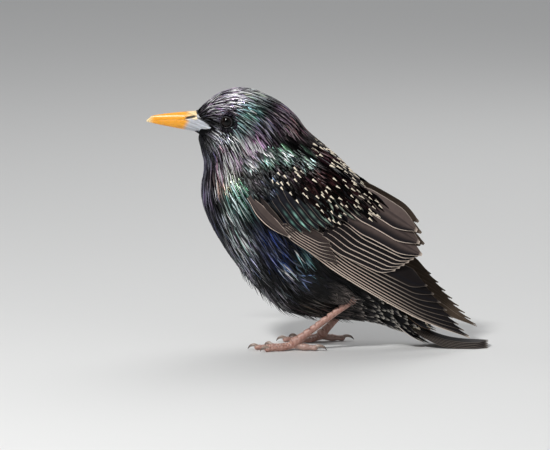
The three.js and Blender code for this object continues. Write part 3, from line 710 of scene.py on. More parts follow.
def from_bill_tip(x):
    """0 at the tip of the bill, 1 at its root."""
    return np.clip((x - BILL_TIP[0]) / (BILL_ROOT_X - BILL_TIP[0]), 0.02, 1.2)


def mouth_line(x):
    back = from_bill_tip(x)
    return (mix(BILL_TIP[1], MOUTH_Z, back) + 0.5 * np.sin(np.pi * np.minimum(back, 1))
            - MOUTH_DROP * smooth(back, 0.6, 1.3))


def gonys_line(back):
    return mix(BILL_TIP[1] - 0.2, GONYS_Z, back**0.85)


# The feathers' edge on the bill: above it, and below it
FRONT_EDGE = np.array([
    [-54, 111.5], [-50.3, 110.4], [-49.7, 108.2], [-50.3, 107.0],
    [-49.2, 105.8], [-46.4, 104.5], [-43.4, 102.5], [-42, 101.4],
])
CHIN_EDGE = np.array([[-54, 98.2], [-46.6, 98.5], [-45.4, 100.3], [-42, 101.3]])


def clear_of_face_parts(points):
    """False for feathers that would lie over an eye or over the bare bill."""
    x, y, z = np.moveaxis(points, -1, 0)
    over_eye = (np.hypot(x - EYE[0], z - EYE[2]) < EYE_OPENING + 0.35) & (np.abs(y) > 4)
    above = np.interp(x, FRONT_EDGE[:, 0], FRONT_EDGE[:, 1])
    below = np.interp(x, CHIN_EDGE[:, 0], CHIN_EDGE[:, 1])
    over_bill = (x < -42) & (z < above) & (z > below)
    return ~(over_eye | over_bill).any(1)


def short_by_eye(at, length):
    """Feathers in front of an eye end at its rim."""
    gap = np.hypot(at[:, 0] - EYE[0], at[:, 2] - EYE[2]) - EYE_OPENING - 0.45
    ahead = (at[:, 0] < EYE[0] + 1) & (np.abs(at[:, 1]) > 3)
    return np.where(ahead, np.clip(gap, 0.7, length), length)


SHOWN = 0.75  # how far along a feather the part lies that isn't covered by others
# How bright a feather with a painted glint is, in the coat and in the strands.
COAT_GAIN, STRAND_GAIN = 1.2, 2.1  # how bright a shining feather is


def finish_settings(settings, seen):
    """Colours and pale tips of feathers, from where each is seen."""
    pale = settings.pop("pale", 0.0)
    gain = STRAND_GAIN if pale else COAT_GAIN
    gloss = gloss_colour(seen[:, 0], seen[:, 2], settings.pop("bright", 0.5), pale=pale, gain=gain)
    settings.setdefault("colour", gloss)
    if "tip_share" in settings:
        settings["tip_share"] = settings["tip_share"] * ~in_green_band(seen[:, 0], seen[:, 2])
    return settings


def body_feathers(name, sections, levels, gap, count, **how):
    """Feathers over some of the body's sections, between two levels: -1 is mid-belly and 1 mid-back."""
    def keep(p, q):
        return (np.sin(q) > levels[0]) & (np.sin(q) <= levels[1])

    p, q = place_roots(body_surface, sections, (0, TURN), gap, count, keep)
    at = body_surface(p, q, 0.0)
    settings = settled(how, p, q, at)
    step = np.linalg.norm(body_surface(p + 0.1, q, 0.0) - at, axis=-1) * 10
    shown = np.clip(p + SHOWN * settings["length"] / np.maximum(step, 0.5), 0, LAST_ROW)
    settings = finish_settings(settings, body_surface(shown, q, 0.0))
    lay_feathers(name, body_surface, p, q, patch=body_patch, outward=BODY_OUTWARD,
                 clear=clear_of_face_parts if sections[0] < 5 else None, **settings)


def body_strands(name, *places, ridge=0.3, **how):
    """Long shining strands over the dark coat."""
    body_feathers(name, *places, ridge=ridge, shade=0.3, materials=[STRAND], **how)


INSIDE = np.array([0, 0, 60.0])  # a point inside the body
BODY_OUTWARD = facing(body_surface, 12.0, 0.3, INSIDE)
BELLY, BACK = -2, 1  # levels that leave out no feather below, or above


def bill_surface(p, q, out):
    """The bill's own surface, to root small feathers on: p is x, q runs from the right round the culmen."""
    p, q, out = as_arrays(p, q, out)
    back = from_bill_tip(p)
    mouth = mouth_line(p)
    culmen = mix(BILL_TIP[1], CULMEN_Z, back**0.36)
    half = BILL_HALF_WIDTH * back**0.82 + out
    high = np.where(np.sin(q) > 0, culmen - mouth, mouth - gonys_line(back)) + out
    return np.stack([p, half * np.cos(q), mouth + high * np.sin(q)], -1)


def build_body_coat():
    def face_length(p, q, at):
        return short_by_eye(at, 1.9 + 0.75 * p + rng.uniform(0, 0.6, len(p)))

    def crown_length(p, q, at):
        return short_by_eye(at, 4.6 + 0.35 * (p - 3.3) + rng.uniform(0, 1.2, len(p)))

    def hackle_length(p, q, at):
        return short_by_eye(at, 6.5 + 0.45 * (p - 3) + rng.uniform(0, 2.0, len(p)))

    def loose_length(p, q, at):
        return 10.5 + 7 * np.exp(-(((p - 14.6) / 0.6) ** 2)) + rng.uniform(0, 2.5, len(p))

    def vent_colour(p, q, at):
        fluffy = 1 - smooth(at[:, 0], 16, 30)[:, None]
        black = BLACK * rng.uniform(0.8, 2.5, (len(p), 1))
        return mix(black, GREY_FLUFF * rng.uniform(0.3, 1.1, (len(p), 1)), fluffy)

    def vent_edge(p, q, at):
        return mix(GREY_FLUFF * 2.2, WHITE_EDGE, smooth(at[:, 0], 16, 30)[:, None])

    # bright is the share of each coat's feathers with a painted glint; pale is how far these go towards
    # silver, a painted highlight.
    body_feathers("coat_face", (0.0, 3.6), (BELLY, BACK), growing(0.42, 0.08), 150000, bright=0.25,
                  length=face_length, width=growing(0.5, 0.08), sink=0.5, rise=0.12, pointed=0.5,
                  heading=around(0, 0.12), materials=[GLOSS])
    body_feathers("coat_crown", (3.3, 9.4), (-0.3, BACK), growing(0.7, 0.07, 3.3), 120000, bright=0.3,
                  length=crown_length, width=growing(0.78, 0.08, 3.3), sink=1.0, rise=0.2, pointed=0.85,
                  heading=around(0, 0.14), materials=[GLOSS])
    body_feathers("coat_throat", (2.6, 12.2), (BELLY, -0.1), growing(0.9, 0.045, 3), 120000, bright=0.3,
                  length=hackle_length, width=growing(0.92, 0.05, 3), sink=1.5, rise=0.35, pointed=0.95,
                  ridge=0.22, heading=around(0, 0.12), materials=[GLOSS])
    body_feathers("coat_breast", (9.0, 13.5), (-0.2, 0.55), 1.15, 60000, bright=0.4, length=drawn(8.5, 2.0),
                  width=1.5, sink=1.7, rise=0.2, pointed=0.8, heading=around(0, 0.12), materials=[GLOSS])
    body_feathers("coat_mantle", (8.8, 16.5), (0.45, BACK), 2.1, 30000, bright=0.6, length=drawn(8.0, 1.5),
                  width=growing(2.6, 0.05, 9), sink=1.7, rise=0.5, pointed=0.8, heading=around(0, 0.08),
                  tip_share=0.85, materials=[GLOSS, CREAM_TIP])
    body_feathers("coat_belly", (11.6, 18.4), (BELLY, 0.2), 1.25, 100000, bright=0.35, length=drawn(9.0, 3.0),
                  width=1.5, sink=1.8, rise=0.3, pointed=0.9, ridge=0.2, heading=around(0, 0.18),
                  materials=[SATIN])
    body_feathers("coat_loose", (12.0, 17.0), (BELLY, -0.62), 3.0, 20000, bright=0.25, length=loose_length,
                  width=1.3, sink=1.0, rise=1.7, pointed=1.0, curl=1.2, heading=around(0, 0.25),
                  materials=[SATIN])
    body_feathers("coat_rump", (16.0, 20.4), (0.1, BACK), 2.0, 20000, bright=0.4, length=drawn(8.5, 1.5),
                  width=3.2, sink=1.7, rise=0.5, pointed=0.4, tip_share=0.5, heading=around(0, 0.1),
                  materials=[SATIN, CREAM_TIP])
    body_feathers("coat_vent", (16.6, 20.6), (BELLY, 0.15), 2.3, 30000, length=drawn(7.5, 1.5), width=3.5,
                  sink=1.6, rise=0.6, pointed=0.65, colour=vent_colour, stations=TIPPED_STATIONS,
                  edge=vent_edge, edge_from=(0.7, 0.95), heading=around(0, 0.14), materials=[SOFT])

    body_strands("strands_face", (0.4, 3.4), (BELLY, BACK), growing(0.85, 0.08), 50000, bright=0.7, pale=0.6,
                 length=lambda *at: face_length(*at) * 1.25, width=growing(0.5, 0.06), sink=0.2, rise=0.3,
                 pointed=0.9, heading=around(0, 0.08))
    body_strands("strands_crown", (2.8, 9.6), (0.0, BACK), growing(1.12, 0.07, 3), 60000, bright=0.75,
                 pale=0.7, length=crown_length, width=growing(0.66, 0.06, 3), sink=0.3, rise=0.45,
                 pointed=0.9, heading=around(0, 0.09))
    body_strands("strands_throat", (3.0, 12.4), (BELLY, 0.2), growing(1.2, 0.06, 3), 90000, bright=0.7,
                 pale=0.7, length=hackle_length, width=growing(0.68, 0.035, 3), sink=0.4, rise=0.85,
                 pointed=0.95, ridge=0.32, heading=around(0, 0.09))
    body_strands("strands_belly", (10.6, 17.6), (BELLY, 0.45), 1.9, 40000, bright=0.5, pale=0.6,
                 length=drawn(8.5, 3.0), width=0.85, sink=0.4, rise=0.9, pointed=0.95,
                 heading=around(0, 0.13))

    outward = facing(bill_surface, -48.0, 1.0, np.array([-48.0, 0, 104]))
    for name, q_range, keep, longer, rise, clear in (
        ("coat_front", (0.15, np.pi - 0.15), lambda p, q: bill_surface(p, q, 0)[:, 2] > 102, 1, 0.25,
         clear_of_face_parts),
        ("coat_chin", (-np.pi + 1.0, -1.0), lambda p, q: p > -50.8, 1.8, 1.0, None),
    ):
        p, q = place_roots(bill_surface, (-52.5, -44), q_range, 0.42, 24000, keep)
        lay_feathers(name, bill_surface, p, q, length=rng.uniform(1.2, 2.0, len(p)) * longer, width=0.5,
                     sink=0.15, rise=rise, pointed=0.8, heading=rng.normal(0, 0.15, len(p)),
                     colour=BLACK * rng.uniform(0.5, 2, (len(p), 1)), materials=[SOFT], outward=outward,
                     patch=lambda a, b: ((a + 75) / 40, (b + 4) / 8), clear=clear)


# Flight feathers and other large vanes
OBLIQUE_SHARE = 0.17  # of a primary's length, where its inner vane narrows to the tip
VANE_THICK = 0.34


def quill(surface, start, end, width, *, tilt=0.2, blunt=0.25, bow=0.0, shaft=-0.25, rows=22, cols=7,
          oblique=0.0, tone, edge, edge_wide=0.3, tip_wide=0.0, shaded_edge=0.0, fading=0.0, sheen=None):
    """One vane as points and colours on two sheets that meet at the edges. start and end are p, q, out."""
    t = np.linspace(0, 1, rows)[:, None]
    rim = edge_wide / (width / 2)
    outer = [1 - 2.1 * rim, 1 - rim, 1]
    w = np.concatenate([[-x for x in reversed(outer)], np.linspace(-0.72, 0.72, cols), outer])[None, :]
    length = math.hypot(end[0] - start[0], end[1] - start[1])
    aim = ((end[0] - start[0]) / length, (end[1] - start[1]) / length)
    half = width / 2 * (0.45 + 0.55 * smooth(t, 0, 0.35)) * np.sqrt(1 - 0.985 * smooth(t, 1 - blunt, 1))
    cut = np.clip((t - 1 + OBLIQUE_SHARE) / OBLIQUE_SHARE, 0, 1) * oblique
    across = half * w * np.where(w > 0, 1 - cut, 1)
    sway = bow * np.sin(np.pi * t)
    p = mix(start[0], end[0], t) - aim[1] * sway - aim[1] * across
    q = mix(start[1], end[1], t) + aim[0] * sway + aim[0] * across
    rib = 0.16 * np.exp(-((w - shaft) / 0.1) ** 2) * (1 - 0.7 * t)
    lift = mix(start[2], end[2], t) - tilt * across - 0.02 * across**2
    body = (1 - w**2) * np.sin(np.pi * np.clip(t + 0.02, 0, 1)) ** 0.4
    top = surface(p, q, lift + rib + VANE_THICK / 2 * body)
    bottom = surface(p, q, lift - VANE_THICK / 2 * body)

    pale = (np.abs(w) > 1 - 1.5 * rim) * np.where(w < 0, 1, 0.55) * (1 - fading * smooth(t, 0.5, 0.85))
    if tip_wide > 0:
        at_tip = 1 - smooth((1 - t) * length, tip_wide * 0.5, tip_wide * 1.2)
        pale = np.maximum(pale, (1 - 0.85 * fading) * at_tip)
    colour = np.broadcast_to(tone, (*across.shape, 3)) * rng.uniform(0.9, 1.1)
    # sheen paints a glint: a bright streak beside the shaft towards the tip, broken into ripples.
    if sheen is not None:
        ripple = 0.6 + 0.4 * np.sin(t * rng.uniform(20, 34) + rng.uniform(0, 6))
        painted_vane_glint = np.exp(-((w + 0.35) / 0.15) ** 2) * (smooth(t, 0.35, 0.8) * ripple)
        colour = mix(colour, sheen, painted_vane_glint[..., None])
    # Painted shade: each vane is painted darker along its lower edge.
    if shaded_edge > 0:
        edge_shade = 1 - smooth(1 + w, rim + 0.2 * shaded_edge, rim + shaded_edge)
        colour = mix(colour, BLACK, 0.92 * edge_shade[..., None])
    colour = mix(colour, BLACK * 1.2, 0.7 * np.exp(-((w - shaft) / 0.09) ** 2)[..., None])
    colour = mix(colour, edge, pale[..., None])
    place = np.stack([np.broadcast_to(t * length, across.shape), across - half * shaft], -1)
    return dict(top=top, bottom=bottom, colour=colour, place=place)


def build_vanes(name, feathers, slot, material, outward, replaces=()):
    """Joins vanes into one object. Each sheet has its own strip of the OFBake map."""
    points, faces, colours, places, bake = [], [], [], [], []
    count = 0
    for i, feather in enumerate(feathers):
        rows, cols = feather["top"].shape[:2]
        quads = grid_faces(rows, cols)
        along, side = np.meshgrid(np.linspace(0, 1, rows), np.linspace(0, 1, cols), indexing="ij")
        for k, sheet in enumerate(("top", "bottom")):
            looking = quads if k == 0 else quads[:, ::-1]
            points.append(feather[sheet].reshape(-1, 3))
            faces.append((turned_over(looking) if outward > 0 else looking) + count)
            colours.append(mix(feather["colour"], UNDERWING, 0.6 * k).reshape(-1, 3))
            places.append(feather["place"].reshape(-1, 2))
            strip = (2 * i + k + 0.08 + 0.84 * side) / (2 * len(feathers))
            bake.append(np.stack([0.01 + 0.98 * along, strip], -1).reshape(-1, 2))
            count += rows * cols
    piece = make_mesh(name, np.concatenate(points), [np.concatenate(faces)], np.concatenate(colours),
                      {"Vane": np.concatenate(places), "OFBake": np.concatenate(bake)})
    finish_piece(piece, slot, [material], replaces)


def spread(count):
    return [(i / (count - 1), i) for i in range(count)]


def build_wing(name, side):
    surface = wing_surface(side)
    outward = facing(surface, 20.0, 5.0, INSIDE)
    flight = []
    for t, i in spread(9):  # primaries
        flight.append(quill(
            surface, (mix(24, 44, t), mix(-6.0, 2.5, t), -1.5 - 0.05 * i),
            (WING_LENGTH - (1.6 if i == 0 else 32 * t**1.25), mix(-0.9, 8.6, t**1.4), -1.0),
            mix(6.4, 8.6, t), tilt=0.3, blunt=mix(0.3, 0.16, t), bow=-2.2 * (1 - t), shaft=-0.45,
            tone=BROWN * rng.uniform(0.8, 1.3), edge=PALE_EDGE * mix(1.15, 0.75, t),
            edge_wide=0.3 if i == 0 else 0.23, tip_wide=0.35, oblique=0.94,
            fading=0.0 if i == 0 else 0.75, rows=36))
    for t, i in spread(6):  # secondaries
        flight.append(quill(
            surface, (mix(42, 48, t), mix(0.5, 12.5, t), -0.8),
            (mix(80.5, 86, t), mix(6.3, 17, t), -0.3), 8.2, tilt=0.27, blunt=0.2, shaft=-0.35,
            tone=BROWN * rng.uniform(1.0, 1.8), edge=PALE_EDGE * 1.1, edge_wide=0.22, tip_wide=0.4,
            shaded_edge=0.3))
    for t, i in spread(3):  # tertials
        flight.append(quill(
            surface, (mix(44, 38, t), mix(14, 24, t), 0.0),
            (mix(87, 79, t), mix(18, 25.4, t), 0.5 + 0.25 * i), 10.2, tilt=0.2, blunt=0.3, bow=1.0,
            shaft=-0.05, tone=TAUPE * rng.uniform(0.85, 1.15), edge=PALE_EDGE * 1.2, edge_wide=0.2,
            tip_wide=0.5, shaded_edge=0.85, rows=26, cols=13))
    for t, i in spread(6):  # primary coverts
        flight.append(quill(
            surface, (24 + i, mix(-6.8, -2.0, t), -0.5), (mix(56.5, 48, t), mix(-5.6, 0.4, t), 0.0),
            4.4, tilt=0.24, blunt=0.3, shaft=-0.3, tone=TAUPE * 0.5, edge=PALE_EDGE * 0.85,
            edge_wide=0.19, rows=16, shaded_edge=0.4))
    for t, i in spread(2):  # the bastard wing
        flight.append(quill(
            surface, (mix(6, 10, t), mix(-3.4, -0.8, t), mix(0.7, -0.1, t)),
            (mix(31.5, 26, t), mix(-7.6, -4.4, t), mix(1.1, 0.2, t)),
            mix(5.0, 3.2, t), tilt=0.2, blunt=0.5, bow=-1.0, shaft=-0.3, tone=TAUPE * mix(0.7, 0.25, t),
            edge=PALE_EDGE * mix(1.2, 0.35, t), edge_wide=0.17, tip_wide=0.3, rows=18, shaded_edge=0.5))
    build_vanes(f"wing_{name}_flight", flight, "wing_feather", VANE, outward, [f"wing_{name}"])

    greater = []
    for t, i in spread(10):
        # green is the colour of the painted glint along each greater covert.
        green = mix(np.array([0.42, 0.88, 0.74]), np.array([0.70, 0.68, 0.50]), t)
        greater.append(quill(
            surface, (mix(9, 31, t), mix(6, 26, t), -0.2), (mix(35, 56, t**0.9), mix(-2.8, 20, t), 0.75),
            5.4, tilt=0.24, blunt=0.3, shaft=-0.05, rows=28, cols=15, tone=BLACK * 2,
            sheen=green * rng.uniform(0.25, 1.4), edge=PALE_EDGE * 0.3, edge_wide=0.12, tip_wide=0.3,
            shaded_edge=0.4))
    build_vanes(f"wing_{name}_coverts", greater, "wing_feather", VANE_GLOSS, outward)


def build_tail():
    upward = 1.0  # the way the tail surface's own normal points
    feathers = []
    for side in (-1, 1):
        for i in range(5, -1, -1):
            lower = 0.5 * (i + (0.5 if side > 0 else 0))
            feathers.append(quill(
                tail_surface, (9, side * (0.7 + 0.4 * i), 1.5 - 0.3 * i),
                (TAIL_LENGTH - 1.4 - 0.08 * i, side * (1.3 + 1.05 * i), 3.1 - lower), 8.4 - 0.25 * i, tilt=0,
                blunt=0.13, shaft=0.25 * -side, tone=BROWN * rng.uniform(0.9, 1.7), edge=PALE_EDGE * 0.3,
                edge_wide=0.16, tip_wide=0.3, rows=26))
    build_vanes("tail_flight", feathers, "tail_feather", VANE, upward, ["tail"])
    coverts = []
    for t, i in spread(7):  # below
        coverts.append(quill(
            tail_surface, (10, mix(-4, 4, t), -3.4),
            (29 + 2.4 * (i % 3), mix(-5.4, 5.4, t), -3.0 - 0.3 * (i % 2)), 5.4, tilt=0, blunt=0.45,
            shaft=0, rows=14, tone=BLACK * 2, edge=WHITE_EDGE, edge_wide=0.5, tip_wide=0.9))
    for t, i in spread(6):  # above
        coverts.append(quill(
            tail_surface, (9, mix(-3.5, 3.5, t), 2.4),
            (30 + 3 * (i % 2), mix(-5.2, 5.2, t), 3.7 + 0.3 * (i % 2)), 5.6, tilt=0, blunt=0.35,
            shaft=0, rows=14, tone=BLACK * 3, edge=BUFF * 0.8, edge_wide=0.3, tip_wide=0.4))
    build_vanes("tail_coverts", coverts, "tail_feather", VANE, upward)


# Small feathers of the wing and the shoulder
def build_wing_coat(name, side):
    surface = wing_surface(side)
    outward = facing(surface, 20.0, 5.0, INSIDE)

    def patch(u, v):
        return np.clip((u + 10) / 150, 0, 1), np.clip((v + 12) / 50, 0, 1)

    def lay(label, u_range, v_range, keep, gap, count, **how):
        u, v = place_roots(surface, u_range, v_range, gap, count, keep)
        settings = settled(how, u, v, surface(u, v, 0.0))
        seen = surface(u + SHOWN * settings["length"], v - 0.2 * settings["length"], 0.0)
        lay_feathers(f"wing_{name}_{label}", surface, u, v, patch=patch, outward=outward,
                     **finish_settings(settings, seen))

    def on_shoulder(u, v):
        front = mix(3.5, -9.0, smooth(u, -6, 14)) + 1.8
        back = np.minimum(4 + 1.2 * (v + 3), 11.5)
        return (v > front) & (v < 13 + 0.5 * u) & (u > -5) & ((u < back) | (v > 10.5))

    def in_median(u, v):
        return (v > 8.8 + 0.07 * u) & (v < 13 + 0.3 * u)

    def in_band(u, v):
        at = surface(u + 3, v, 0.0)
        return in_green_band(at[:, 0], at[:, 2])

    lay("lesser", (-5, 34), (-4, 24), on_shoulder, 1.2, 20000, bright=0.45, length=drawn(4.6, 1.4), width=1.8,
        sink=0.2, rise=0.9, pointed=0.6, heading=around(-0.28, 0.14), materials=[SATIN])
    lay("median", (5, 42), (7, 26), in_median, 2.3, 7000, length=drawn(7.5, 1.5), width=2.4, sink=0.1,
        rise=1.3, pointed=0.8, heading=around(-0.3, 0.08), tip_share=0.5, bright=0.45,
        materials=[GLOSS, CREAM_TIP])
    lay("scapulars", (4, 52), (12, 28.8), lambda u, v: v > 16 + 0.08 * u, 2.2, 12000, length=drawn(9.0, 2.0),
        width=2.6, sink=0.2, rise=1.4, pointed=0.8, heading=around(-0.2, 0.08), tip_share=0.5, bright=0.5,
        materials=[GLOSS, CREAM_TIP])
    lay("band", (-6, 34), (8, 28), in_band, 1.0, 20000, bright=0.75, pale=0.55, length=drawn(4.0, 1.2),
        width=1.0, sink=0.2, rise=1.9, pointed=0.7, ridge=0.25, heading=around(-0.25, 0.14), shade=0.3,
        materials=[STRAND])
    lay("strands", (-5, 26), (-4, 20), on_shoulder, 2.0, 9000, bright=0.5, pale=0.5, length=drawn(4.6, 1.4),
        width=0.8, sink=0.2, rise=1.3, pointed=0.9, ridge=0.3, heading=around(-0.28, 0.14), shade=0.3,
        materials=[STRAND])


# Bill
YELLOW = np.array([0.90, 0.37, 0.010])
HORN_TIP = np.array([0.93, 0.76, 0.42])
# CREAM_AND_HIGHLIGHT is the pale rear of the upper bill: partly its own paler base, partly a painted
# highlight along the culmen.
CREAM_AND_HIGHLIGHT = np.array([0.90, 0.74, 0.44])
SILVER = np.array([0.46, 0.48, 0.52])
MOUTH_GAP = 0.05


def nostril_shape(x, z):
    """How much a place of the bill's side is in the nostril's slit, and how much on the flap above it."""
    along = (x - NOSTRIL[0]) / 2.3
    above = z - NOSTRIL[1] - 0.2 * (x - NOSTRIL[0])
    return np.exp(-along**4 - (above / 0.45) ** 2), np.exp(-along**2 - ((above - 0.9) / 0.4) ** 2)


def bill_half(upper):
    """Rings of points of the upper or the lower bill."""
    x = np.linspace(BILL_TIP[0] + BILL_START, BILL_ROOT_X + BILL_SUNK, 120)[:, None]
    a = np.linspace(0, np.pi, 57)[None, :]
    back = from_bill_tip(x)
    mouth = mouth_line(x)
    culmen = mix(BILL_TIP[1], CULMEN_Z, back**0.36 * np.minimum(back * 10, 1) ** 0.75)
    rim = culmen if upper else gonys_line(back)
    sign = 1 if upper else -1
    half = BILL_HALF_WIDTH * back**0.82 + GAPE_WIDER * smooth(back, 0.85, 1.2)
    high = np.maximum(np.abs(rim - mouth), 0.16) - MOUTH_GAP / 2
    y = half * np.cos(a)
    z = mouth + sign * MOUTH_GAP / 2 + sign * high * np.sin(a) ** 0.95
    if upper:  # the nostril is a slit in a shallow groove, under a small flap
        slit, flap = nostril_shape(x, z)
        y = y - np.sign(y) * (0.75 * slit - 0.22 * flap)
    return np.stack([np.broadcast_to(x, y.shape), y, z], -1)


def build_bill(name, upper):
    rings = bill_half(upper)
    x, _, z = np.moveaxis(rings, -1, 0)
    t = from_bill_tip(x)
    colour = mix(HORN_TIP, YELLOW, smooth(t, 0.02, 0.16)[..., None])
    if upper:
        above = z - mouth_line(x) - 1.2 * smooth(x, -51, -48)
        slit, _ = nostril_shape(x, z)
        # Paler cream towards the root: partly the bill's own colour, partly a painted highlight.
        colour = mix(colour, CREAM_AND_HIGHLIGHT, (0.8 * smooth(t, 0.66, 0.82))[..., None])
        colour = mix(colour, SILVER, (smooth(t, 0.66, 0.76) * (1 - smooth(above, 0.7, 1.6)))[..., None])
        # Painted shade: the nostril's opening is painted black over a shallow groove.
        colour = mix(colour, BLACK, np.clip(slit * 1.6, 0, 1)[..., None])
    else:
        colour = mix(colour, SILVER, smooth(t - 0.02 * (z - GONYS_Z), 0.56, 0.68)[..., None])
    slant = z + 0.35 * x  # the streaks run up towards the gape
    wander = 0.7 * np.sin(x * 0.5) + 0.3 * np.sin(x * 1.3 + 1)
    streaks = 0.16 * np.sin(slant * 3.5 + wander) + 0.1 * np.sin(slant * 6.5 - 2 * wander)
    colour = colour * (1 + streaks * (0.1 + 0.9 * smooth(t, 0.5, 0.75)))[..., None]
    front = smooth(z - np.interp(x, FRONT_EDGE[:, 0], FRONT_EDGE[:, 1]), -0.15, 0.25)
    chin = smooth(np.interp(x, CHIN_EDGE[:, 0], CHIN_EDGE[:, 1]) - z, -0.15, 0.25)
    colour = mix(colour, BLACK, np.maximum(front, chin)[..., None])
    build_tube(name, rings, colour, "bill_yellow" if upper else "bill_base", HORN, [name], clockwise=upper)


# Eyes
LID = np.array([0.007, 0.006, 0.008])
EYE_RING = np.array([0.10, 0.07, 0.12])


def build_eyeball(name, centre, side):
    bpy.ops.mesh.primitive_uv_sphere_add(segments=64, ring_count=48, radius=EYE_RADIUS * MM)
    ball = bpy.context.object
    ball.name = f"eyeball_{name}"
    ball.rotation_euler = (math.radians(90), 0, 0)
    bpy.ops.object.transform_apply(rotation=True)
    bpy.ops.object.shade_smooth()
    centre = (centre + SHIFT) * MM
    ball.data.transform(Matrix.Translation(Vector(centre)))
    material, nodes, links, shader = new_material(f"eye_{name}")
    place = nodes.new("ShaderNodeTexCoord")
    away = nodes.new("ShaderNodeVectorMath")
    away.operation = "DISTANCE"
    away.inputs[1].default_value = centre + np.array([0, side * EYE_RADIUS * MM, 0])
    links.new(place.outputs["Object"], away.inputs[0])
    share = nodes.new("ShaderNodeMapRange")
    set_inputs(share, {"From Max": EYE_RADIUS * MM})
    links.new(away.outputs["Value"], share.inputs["Value"])
    ramp = nodes.new("ShaderNodeValToRGB")
    links.new(share.outputs["Result"], ramp.inputs["Fac"])
    pupil, iris = ramp.color_ramp.elements
    pupil.position = 0.36
    pupil.color = (0.001, 0.001, 0.001, 1)
    iris.position = 0.44
    iris.color = (0.005, 0.0025, 0.0018, 1)
    links.new(ramp.outputs["Color"], shader.inputs["Base Color"])
    set_inputs(shader, {"Roughness": 0.05, "Specular IOR Level": 0.2})
    ball.data.materials.clear()
    finish_piece(ball, "eye", [material], [f"eye_{name}"])


def build_lids(name, centre, side):
    """A ring of bare skin round the eye."""
    rounds, sides = 72, 12
    a = round_angles(rounds)[:, None]
    b = round_angles(sides)
    look = unit(np.array([-EYE_LEAN, side, 0]))
    level = unit(np.array([1, side * EYE_LEAN, 0]))
    across = np.cos(a) * level + 0.92 * np.sin(a) * np.array([0, 0, 1])
    rim = EYE_OPENING + 0.25
    middle = centre + look * math.sqrt(EYE_RADIUS**2 - rim**2) + across * rim
    thick = 0.36 + 0.1 * np.cos(2 * a)
    points = (middle[:, None] + across[:, None] * (thick * np.cos(b))[..., None]
              + look * (0.5 * np.sin(b))[None, :, None])
    faces = grid_faces(rounds + 1, sides, True) % (rounds * sides)
    colour = np.broadcast_to(LID, (rounds * sides, 3))
    lids = make_mesh(f"lids_{name}", points.reshape(-1, 3), [faces if side > 0 else faces[:, ::-1]], colour)
    finish_piece(lids, "plumage", [LEG_SKIN])


def build_eye_ring(name, centre, side):
    """Two rows of tiny dark feathers round the lids, four rings of four points each."""
    rows = []
    for ring, count in ((EYE_OPENING + 0.75, 30), (EYE_OPENING + 1.35, 36)):
        turn = round_angles(count) + rng.uniform(0, 0.1, count)
        rows.append(np.stack([EYE[0] + ring * np.cos(turn), EYE[2] + 0.95 * ring * np.sin(turn)], -1))
    x, z = np.concatenate(rows).T
    base = np.stack([x, side * (body_reach(x, z) + 0.1), z], -1)
    out = unit(base - centre)
    toward = unit(np.stack([x - EYE[0], 0 * x, z - EYE[2]], -1))
    back = unit(toward * 0.6 + np.array([0.6, 0, 0.05]))
    cross = unit(np.cross(out, back))[:, None]
    t = np.linspace(0, 1, 4)[None, :, None]
    out = out[:, None]
    line = base[:, None] + back[:, None] * (1.3 * t) + out * (0.25 * np.sin(np.pi * t))
    half = 0.26 * np.sin(np.pi * np.clip(t * 0.8 + 0.15, 0, 1))
    points = np.stack([line - cross * half, line + out * 0.12, line + cross * half, line - out * 0.08], 2)
    count = len(x)
    one = turned_over(grid_faces(4, 4, True))
    faces = (one[:, None] + np.arange(count)[None, :, None] * 16).reshape(-1, 4)
    tint = mix(BLACK, EYE_RING, smooth(t, 0.4, 0.8)[..., None])
    tint = np.broadcast_to(tint, (count, 4, 4, 3)).reshape(-1, 3)
    finish_piece(make_mesh(f"eye_ring_{name}", points.reshape(-1, 3), [faces], tint), "plumage", [SATIN])


def build_eye(name, side):
    centre = np.array([EYE[0], side * EYE[1], EYE[2]])
    build_eyeball(name, centre, side)
    build_lids(name, centre, side)
    build_eye_ring(name, centre, side)


# Legs
FLESH = np.array([0.34, 0.13, 0.09])
FLESH_PALE = np.array([0.72, 0.50, 0.42])
FLESH_DARK = np.array([0.06, 0.022, 0.018])
HIND_TOE = np.array([0.40, 0.30, 0.26])
CLAW_ROOT = np.array([0.36, 0.27, 0.22])
CLAW_TIP = np.array([0.05, 0.035, 0.03])


def round_bar(points, radii, sides, steps):
    """A smooth line through the points: its places, radii, frames, angles round it and distances run."""
    rows = np.column_stack([points, radii])
    at = curve_through(rows, np.arange((len(points) - 1) * steps + 1) / steps)
    line, radius = at[:, :3], at[:, 3]
    along = unit(np.gradient(line, axis=0))
    side = unit(np.cross(np.array([0, 0, 1.0]), along))
    up = np.cross(along, side)
    run = np.concatenate([[0], np.cumsum(np.linalg.norm(np.diff(line, axis=0), axis=1))])
    return line, radius[:, None], side, up, round_angles(sides)[None, :], run[:, None]


def rings_round(line, side, up, wide, high):
    return line[:, None] + side[:, None] * wide[..., None] + up[:, None] * high[..., None]


